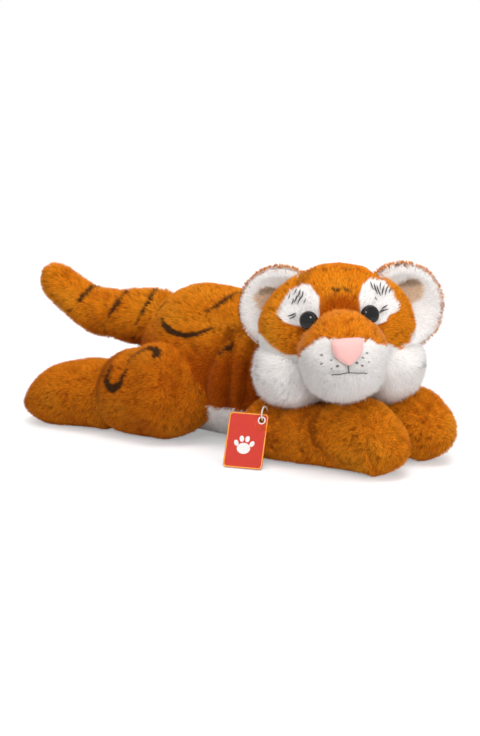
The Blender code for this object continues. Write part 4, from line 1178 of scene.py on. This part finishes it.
def strands(name, seed):
    """Corners, colours and surface directions of one bag's pile."""
    s = SKINS[name]
    length, lean, dense, width = PILE.get(name) or PILE[name[:-2]]
    dense = dense * 1.0
    width = width * 1.0
    tris = []
    for f in s["faces"]:
        tris.append(f[:3])
        if len(f) == 4:
            tris.append((f[0], f[2], f[3]))
    tris = np.array(tris)
    points = s["points"]
    a, b, c = (points[tris[:, k]] for k in range(3))
    area = norms(np.cross(b - a, c - a)) / 2
    random = np.random.default_rng(seed)
    count = int(area.sum() / MM**2 * dense)
    pick = random.choice(len(tris), count, p=area / area.sum())
    u, v = random.random(count), random.random(count)
    over = u + v > 1
    u[over], v[over] = 1 - u[over], 1 - v[over]
    w = np.stack([1 - u - v, u, v], axis=1)
    root, surface, normal = ((rows[tris[pick]] * w[:, :, None]).sum(axis=1)
                             for rows in (points, s["cad"], normals_of(points, s["faces"])))
    normal = unit(normal)
    keep = ~((normal[:, 2] < -0.8) & (root[:, 2] < 1.6 * MM))
    if name in ("torso_skin", "belly_skin"):
        above = surface[:, 2] - belly_edge(surface[:, 0])
        keep &= (above > -1.5 * MM) if name == "torso_skin" else (above < 1.5 * MM)
    if name.startswith("ear"):
        facing = normal @ ear_at(name)[:3, 0]
        keep &= (facing > 0.45) if "lining" in name else (facing < 0.75)
    keep &= ~nude(name, surface)
    root, surface, normal = root[keep], surface[keep], normal[keep]
    shown = ~buried(name, root, 0.2 * MM if name.startswith("ear_skin") else 2.5 * MM)
    root, surface, normal = root[shown], surface[shown], normal[shown]
    count = len(root)
    flow = across_only(unit(nap_of(name, root)), normal)
    clump = noise_vector(root, 5.5 * MM, 61) + 0.6 * noise_vector(root, 2.4 * MM, 67)
    jitter = random.normal(0, 1, (count, 3))
    tangle = clump * 0.34 + jitter * 0.22
    lie = unit(across_only(unit(flow + tangle * 1.1), normal))
    angle = np.radians(lean * (1 + 0.22 * random.normal(0, 1, count)
                               + 0.35 * (noise(root, 8 * MM, 71) - 0.5)))
    first = unit(leaning(normal, lie, angle * 0.7) + tangle * 0.12)
    second = unit(leaning(normal, lie, angle * 1.25) + tangle * 0.22)
    long = length * MM * (0.72 + 0.5 * random.random(count)) * shortness(name, surface)
    long = long * (0.45 + 0.55 * smooth(1 * MM, 14 * MM, root[:, 2]))
    start = root - normal * 0.5 * MM
    middle = start + first * (long * 0.52)[:, None]
    tip = middle + second * (long * 0.48)[:, None]
    side = unit(np.cross(lie, normal) + jitter * 0.25)
    half = width * MM / 2 * (0.8 + 0.4 * random.random(count))
    corners = np.stack([
        start - side * half[:, None], start + side * half[:, None],
        middle + side * (half * 0.8)[:, None], middle - side * (half * 0.8)[:, None], tip,
    ], axis=1)
    corners[:, :, 2] = np.maximum(corners[:, :, 2], 0.3 * MM)
    over = surface + across_only(tip - root, normal)
    colour = s["paint"](surface * 0.35 + over * 0.65)
    bright = smooth(0.35, 0.8, colour.mean(axis=1))
    colour = colour * (1 + (0.15 - 0.08 * bright) * random.normal(0, 1, count))[:, None]
    # Painted shade and light: each strand is darker at its root, as the shade deep in the pile,
    # and lighter at its tip; pale colours are darkened less.
    foot = 0.38 + 0.54 * bright
    body = foot * 0.4 + 0.6
    shade = np.stack([foot, foot, body, body, np.full(count, 1.12)], axis=1)
    return corners, colour[:, None, :] * shade[:, :, None], normal


def fringed(name, corners, colours, normal):
    """The rim's strands doubled, so that the fringe is lit from the front as from behind."""
    ahead = ear_at(name)[:3, 0]
    face = np.cross(corners[:, 1] - corners[:, 0], corners[:, 3] - corners[:, 0])
    rim = (face @ ahead < 0) & (normal @ ahead > -0.85)
    back = corners[rim][:, (1, 0, 3, 2, 4)] + ahead * 0.15 * MM
    lit = unit(normal[rim] + ahead * 1.2)
    return (np.concatenate([corners, back]), np.concatenate([colours, colours[rim]]),
            np.concatenate([normal, lit]))


def make_pile(name, seed, finish):
    """The strands as one mesh: a quad and a tip triangle each."""
    corners, colours, normal = strands(name, seed)
    if name.startswith("ear"):
        corners, colours, normal = fringed(name, corners, colours, normal)
    s = SKINS[name]
    count = len(corners)
    mesh = bpy.data.meshes.new(name.replace("_skin", "_pile"))
    mesh.vertices.add(count * 5)
    mesh.vertices.foreach_set("co", corners.astype(np.float32).ravel())
    each = np.arange(count)[:, None]
    loops = (each * 5 + np.array((0, 1, 2, 3, 3, 2, 4))).ravel()
    mesh.loops.add(len(loops))
    mesh.loops.foreach_set("vertex_index", loops.astype(np.int32))
    mesh.polygons.add(count * 2)
    starts = (each * 7 + np.array((0, 4))).ravel()
    mesh.polygons.foreach_set("loop_start", starts.astype(np.int32))
    mesh.update(calc_edges=True)
    mesh.shade_smooth()
    set_pile(mesh, colours.reshape(-1, 3))
    wide = math.ceil(math.sqrt(count))
    cell = np.stack([np.arange(count) % wide, np.arange(count) // wide], axis=1)
    spots = np.array(((0.2, 0.1), (0.8, 0.1), (0.7, 0.5), (0.3, 0.5), (0.3, 0.5), (0.7, 0.5),
                      (0.5, 0.9)))
    uv = (cell[:, None, :] + spots) / wide
    mesh.uv_layers.new(name="OFBake").data.foreach_set("uv", uv.astype(np.float32).ravel())
    lean = unit(np.repeat(normal, 5, axis=0)).astype(np.float32)
    mesh.normals_split_custom_set_from_vertices(lean)
    layer = mesh.attributes.new("Out", "FLOAT_VECTOR", "POINT")
    layer.data.foreach_set("vector", lean.ravel())
    obj = linked(mesh.name, mesh, finish)
    obj.visible_shadow = False
    carried(obj, s)


# ---- face and tag ----


def eye_frame(side):
    y, z = side * 0.0250, 0.0155
    half = Vector(HEAD_SIZE) / 2
    x = half.x * math.sqrt(1 - (y / half.y) ** 2 - (z / half.z) ** 2)
    out = Vector((x / half.x**2, y / half.y**2, z / half.z**2)).normalized()
    turn = out.to_track_quat("Z", "Y").to_matrix().to_4x4()
    return FACE @ Matrix.Translation((x, y, z)) @ turn


def make_eyes(black, iris, turns=48):
    """Each eye's dome and post turned in one, with a brown ring on the dome."""
    radius, top, seat, post, end = 0.0075, 0.0040, 0.0022, 0.0022, -0.0182
    angles = [2 * math.pi * j / turns for j in range(turns)]

    def dome_at(r):
        return top * math.sin(math.acos(min(1.0, r / radius))) ** 0.9

    profile = [(post, end), (post, -seat - 0.0004), (radius * 0.96, -seat - 0.0004),
               (radius, -seat), (radius, -0.0006)]
    profile += [(radius * math.cos(a), top * math.sin(a) ** 0.9)
                for a in np.linspace(0.05, math.pi / 2 - 0.04, 16)]
    dome_points = [(r * math.cos(a), r * math.sin(a), z) for r, z in profile for a in angles]
    dome_points += [(0, 0, end), (0, 0, top)]
    section = [(r, dome_at(r) + lift + 0.00004)
               for r, lift in ((0.0056, 0.0), (0.0060, 0.00022), (0.0064, 0.0))]
    section.append((0.0060, dome_at(0.8 * radius) - 0.0002))
    ring_points = [(r * math.cos(a), r * math.sin(a), z) for a in angles for r, z in section]
    ring_faces = [(j * 4 + q, k * 4 + q, k * 4 + (q + 1) % 4, j * 4 + (q + 1) % 4)
                  for j in range(turns) for k in [(j + 1) % turns] for q in range(4)]
    for side, letter in SIDES:
        at = eye_frame(side)
        dome = mesh_object(f"eye_dome_{letter}", moved(dome_points, at),
                           shell(len(profile), turns), black)
        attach(dome, "head")
        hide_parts(f"eye_{letter}")
        rim = mesh_object(f"eye_ring_{letter}", moved(ring_points, at), ring_faces, iris)
        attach(rim, "head")


def make_nose(pink, rings=22, sides=64):
    """A cushion of velvet, wide and square above, narrow below."""
    front = 0.039 + 0.0045
    angles = [2 * math.pi * j / sides for j in range(sides)]
    points = []
    for share in (i / rings for i in range(1, rings + 1)):
        size = math.sin(share * math.pi / 2) ** 0.9
        back = (1 - math.cos(share * math.pi / 2)) ** 1.25
        for a in angles:
            narrow = 0.5 + 0.5 * math.sin(a)
            square = 1 - 0.48 * narrow
            y = math.copysign(abs(math.cos(a)) ** square, math.cos(a)) * (0.36 + 0.64 * narrow)
            z = math.copysign(abs(math.sin(a)) ** square, math.sin(a)) * 0.0108
            points.append((front - back * 0.0065, y * 0.0168 * size, z * size))
    points += [(front - 0.012, math.cos(a) * (0.36 + 0.64 * (0.5 + 0.5 * math.sin(a))) * 0.0150,
                math.sin(a) * 0.0102) for a in angles]
    points += [(front, 0, 0), (front - 0.0125, 0, 0)]
    at = HEAD_FRAME @ Matrix.Translation(HEAD_CENTRE + Vector((0.040, 0.0012, -0.0075)))
    nose = mesh_object("nose_pad", moved(points, at), shell(rings + 1, sides), pink)
    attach(nose, "head")
    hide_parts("nose")


def tube_mesh(line, radius, sides=8, twist=0.0, closed=False, sizes=None):
    """A tube along a line of points in metres; a twist gives it three plies."""
    line = np.asarray(line, float)
    count = len(line)
    if closed:
        tangent = unit(np.roll(line, -1, axis=0) - np.roll(line, 1, axis=0))
    else:
        tangent = unit(np.gradient(line, axis=0))
    if sizes is None:
        sizes = [1.0 if closed or 0 < i < count - 1 else 0.35 for i in range(count)]
    side = np.cross(tangent[0], (0.31, 0.22, 0.93))
    points, faces = [], []
    for i in range(count):
        side = side - tangent[i] * (side @ tangent[i])
        side /= np.linalg.norm(side)
        up = np.cross(tangent[i], side)
        for j in range(sides):
            a = 2 * math.pi * j / sides + twist * i
            ply = 0.16 * math.cos(3 * (a - 2 * twist * i)) if twist else 0
            r = radius * sizes[i] * (1 + ply)
            points.append(line[i] + (side * math.cos(a) + up * math.sin(a)) * r)
    for i in range(count if closed else count - 1):
        a, b = i * sides, (i + 1) % count * sides
        for j in range(sides):
            k = (j + 1) % sides
            faces.append((a + j, a + k, b + k, b + j))
    if not closed:
        faces.append(tuple(range(sides))[::-1])
        faces.append(tuple((count - 1) * sides + j for j in range(sides)))
    return points, faces


def over_bag(name, y, z, lift):
    """A world point over a bag's front at (y, z) millimetres of the face."""
    start = FACE @ Vector((0.12, y * MM, z * MM))
    at, out, _, _ = tree_of(name)[0].ray_cast(start, FACE.to_3x3() @ Vector((-1, 0, 0)))
    return np.array(at + out * lift)


def make_marks(ink):
    """Airbrushed strokes on the brows and lashes beside the eyes, each a tapered tuft."""
    steps = np.linspace(0, 1, 9)
    for letter, lines in BROW_STROKES.items():
        points, faces = [], []
        for (y0, z0), (y1, z1), wide in lines:
            bow = 0.7 if y0 < 0 else -0.7
            rows = [over_bag("head_skin", y0 + (y1 - y0) * t + bow * math.sin(math.pi * t),
                             z0 + (z1 - z0) * t, (3.0 + 0.5 * math.sin(math.pi * t)) * MM)
                    for t in steps]
            made = tube_mesh(rows, wide * 1.2 * MM, 6,
                             sizes=[0.25 + 0.75 * math.sin(math.pi * t) for t in steps])
            faces += [tuple(len(points) + k for k in f) for f in made[1]]
            points += made[0]
        obj = mesh_object(f"brow_marks_{letter}", points, faces, ink)
        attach(obj, "head")


def make_mouth(thread):
    rows = [over_bag("muzzle_skin", 1.3 + 0.3 * math.sin(t * 3), -17.4 - 7.2 * t, 2.7 * MM)
            for t in np.linspace(0, 1, 14)]
    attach(mesh_object("mouth_thread_upright", *tube_mesh(rows, 0.42 * MM, 8, 0.5), thread),
            "head")
    rows = [over_bag("muzzle_skin", 1.3 + 13.8 * t, -24.6 - 1.2 * t - 0.8 * t**2, 2.7 * MM)
            for t in np.linspace(-1, 1, 44)]
    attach(mesh_object("mouth_thread", *tube_mesh(rows, 0.34 * MM, 8, 0.5), thread), "head")


def outline_card(width, height, corner, middle=0.0):
    """A rounded rectangle of (x, z)."""
    rows = []
    for number, (sx, sz) in enumerate(((1, 1), (-1, 1), (-1, -1), (1, -1))):
        for i in range(9):
            a = math.pi / 2 * (number + i / 8)
            rows.append((sx * (width / 2 - corner) + corner * math.cos(a),
                         middle + sz * (height / 2 - corner) + corner * math.sin(a)))
    return rows


def flat_ring(name, outer, inner, at, low, high, finish):
    """A thin printed band between two outlines on the card's face."""
    n = len(outer)
    points = [(x, y, z) for y in (low, high) for x, z in outer + inner]
    faces = []
    for a in range(n):
        b = (a + 1) % n
        faces += [(a, b, n + b, n + a), (2 * n + b, 2 * n + a, 3 * n + a, 3 * n + b),
                  (b, a, 2 * n + a, 2 * n + b), (n + a, n + b, 3 * n + b, 3 * n + a)]
    return mesh_object(name, moved(points, at), faces, finish, False)


def flat_shape(name, rows, at, low, high, finish):
    count = len(rows)
    points = [(x, y, z) for y in (low, high) for x, z in rows]
    faces = [tuple(range(count)), tuple(range(2 * count - 1, count - 1, -1))]
    faces += [((j + 1) % count, j, count + j, count + (j + 1) % count) for j in range(count)]
    return mesh_object(name, moved(points, at), faces, finish, False)


def oval(x, z, wide, tall, turn=0.0, count=28):
    c, s = math.cos(turn), math.sin(turn)
    rows = []
    for j in range(count):
        a = 2 * math.pi * j / count
        u, v = wide * math.cos(a), tall * math.sin(a)
        rows.append((x + c * u - s * v, z + s * u + c * v))
    return rows


def make_tag(yellow, white, string):
    """The card's printed rim, paw print and eyelet, and the loop that it hangs on."""
    width, height, hole_in, face = 0.034, 0.0465, 0.0055, -0.0004
    loop_y, loop_z, bore = 0.0080, 0.0064, 0.0042
    foot = Matrix.Translation((0.0690, -0.0920, 0.0008)) @ turned(17, "Z") @ turned(-24, "X")
    hole = foot @ Matrix.Translation((width / 2 - hole_in, 0, height - hole_in))
    outer = outline_card(0.0334, 0.0459, 0.0029, height / 2)
    inner = outline_card(0.0318, 0.0443, 0.0023, height / 2)
    made = [flat_ring("tag_border", outer, inner, foot, face, face - 0.00007, yellow)]
    pads = [oval(-0.001, 0.0165, 0.0058, 0.0046)]
    pads += [oval(-0.001 + dx, 0.0165 + dz, 0.0019, 0.0026, turn)
             for dx, dz, turn in ((-0.0068, 0.0042, 0.5), (-0.0025, 0.0079, 0.15),
                                  (0.0025, 0.0079, -0.15), (0.0068, 0.0042, -0.5))]
    for number, rows in enumerate(pads):
        made.append(flat_shape(f"tag_print_{number}", rows, foot, face, face - 0.00006, white))
    made.append(flat_ring("tag_eyelet", outline_card(0.0068, 0.0068, 0.0034),
                          outline_card(0.0046, 0.0046, 0.0023), hole, face, face - 0.00009,
                          white))
    for piece in made:
        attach(piece, "tag")
    share = math.sqrt(1 - (2 * 0.0050 / (2 * loop_y)) ** 2)
    lift = share * loop_z + (bore - 0.0013) / 2 - 0.0003
    at = hole @ Matrix.Translation((0, 0.0050, lift))
    rows = [at @ Vector((0, loop_y * math.cos(a), loop_z * math.sin(a)))
            for a in np.linspace(0, 2 * math.pi, 90, endpoint=False)]
    loop = mesh_object("tag_string", *tube_mesh(rows, 0.62 * MM, 12, 0.35, True), string)
    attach(loop, "arm_r")
    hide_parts("tag_loop")


# ---- stage ----

# name, place, size and power of each lamp
LAMPS = (
    ("catch", (0.75, -1.30, 1.25), 0.45, 6.2),
    ("key", (-0.45, -1.30, 1.65), 1.1, 4.0),
    ("fill", (1.75, -0.55, 0.70), 1.1, 12.5),
    ("top", (0.35, -0.25, 1.9), 1.1, 17.5),
    ("back", (-1.15, 1.25, 1.15), 1.2, 13.0),
)


def math_node(tree, operation, a, b):
    made = node(tree, "Math")
    made.operation = operation
    tree.links.new(a, made.inputs[0])
    tree.links.new(b, made.inputs[1])
    return made.outputs[0]


def seen(tree):
    """1 for what the camera, clear matter or gloss shows, 0 for what only lights."""
    rays = node(tree, "LightPath").outputs
    either = math_node(tree, "MAXIMUM", rays["Is Camera Ray"], rays["Is Transmission Ray"])
    return math_node(tree, "MAXIMUM", either, rays["Is Glossy Ray"])


def make_stage():
    made, tree, shader = nodes_of("studio_floor")
    put(shader, Base_Color=(0.80, 0.80, 0.80, 1), Roughness=0.9, Specular_IOR_Level=0.1,
        Emission_Color=(1, 1, 1, 1))
    away = node(tree, "VectorMath")
    away.operation = "LENGTH"
    tree.links.new(node(tree, "NewGeometry").outputs["Position"], away.inputs[0])
    lift = ranged(tree, away.outputs["Value"], low=0.25, high=2.2, start=0.34, end=0.90)
    level = math_node(tree, "MULTIPLY", seen(tree), lift)
    tree.links.new(level, shader.inputs["Emission Strength"])
    wide = 6.0
    floor = mesh_object("studio_floor", [(-wide, -wide, 0), (wide, -wide, 0), (wide, wide, 0),
                                         (-wide, wide, 0)], [(0, 1, 2, 3)], made, False)
    scene = bpy.context.scene
    scene.world = bpy.data.worlds.new("studio")
    scene.world.use_nodes = True
    # light reaches both faces of a strand
    scene.cycles.use_light_tree = False
    tree = scene.world.node_tree
    back = put(tree.nodes["Background"], Color=(1, 1, 1, 1))
    tree.links.new(ranged(tree, seen(tree), start=0.27, end=1.0), back.inputs["Strength"])
    for name, place, size, power in LAMPS:
        light = bpy.data.lights.new(name, "AREA")
        light.energy, light.size, light.shape = power, size, "DISK"
        lamp = bpy.data.objects.new(name, light)
        lamp.location = place
        aim = Vector((0.03, -0.02, 0.06)) - Vector(place)
        lamp.rotation_euler = aim.to_track_quat("-Z", "Y").to_euler()
        # the eyes show the small lamp alone, as one bright point each
        lamp.visible_glossy = name == "catch"
        scene.collection.objects.link(lamp)


def make_camera(azimuth=36, elevation=12, distance=1.5):
    data = bpy.data.cameras.new("photo_camera")
    data.lens, data.sensor_width = 83.35, 36.0
    camera = bpy.data.objects.new("photo_camera", data)
    a, e = math.radians(azimuth), math.radians(elevation)
    back = Vector((math.sin(a) * math.cos(e), -math.cos(a) * math.cos(e), math.sin(e)))
    camera.location = Vector((0, 0, 0.0606)) + back * distance
    camera.rotation_euler = (-back).to_track_quat("-Z", "Y").to_euler()
    bpy.context.scene.collection.objects.link(camera)
    bpy.context.scene.camera = camera


def dress_nodes():
    """Better materials for the CAD nodes that stay."""
    washer, card = plain_material("washer_nylon"), plain_material("red_card_coated")
    for name, finish in (("eye_washer_l", washer), ("eye_washer_r", washer), ("hang_tag", card)):
        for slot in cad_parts[name].material_slots:
            slot.material = finish


def main():
    bpy.context.scene.view_settings.view_transform = "Standard"
    make_camera()
    make_stage()
    make_skins()
    make_skin_objects()
    warm = pile_material("plush_pile", 0.05, (1.0, 0.66, 0.36))
    pale = pile_material("plush_pile_white", 0.12, (1.0, 1.0, 1.0))
    for seed, name in enumerate(SKINS, 100):
        make_pile(name, seed, pale if SKINS[name]["slot"] == "white_plush" else warm)
    make_eyes(plain_material("eye_gloss"), plain_material("eye_ring_brown"))
    make_nose(plain_material("nose_velvet"))
    make_mouth(plain_material("mouth_cotton"))
    make_marks(plain_material("brow_ink"))
    make_tag(*(plain_material(name) for name in ("tag_yellow", "tag_white", "tag_cotton")))
    dress_nodes()


main()
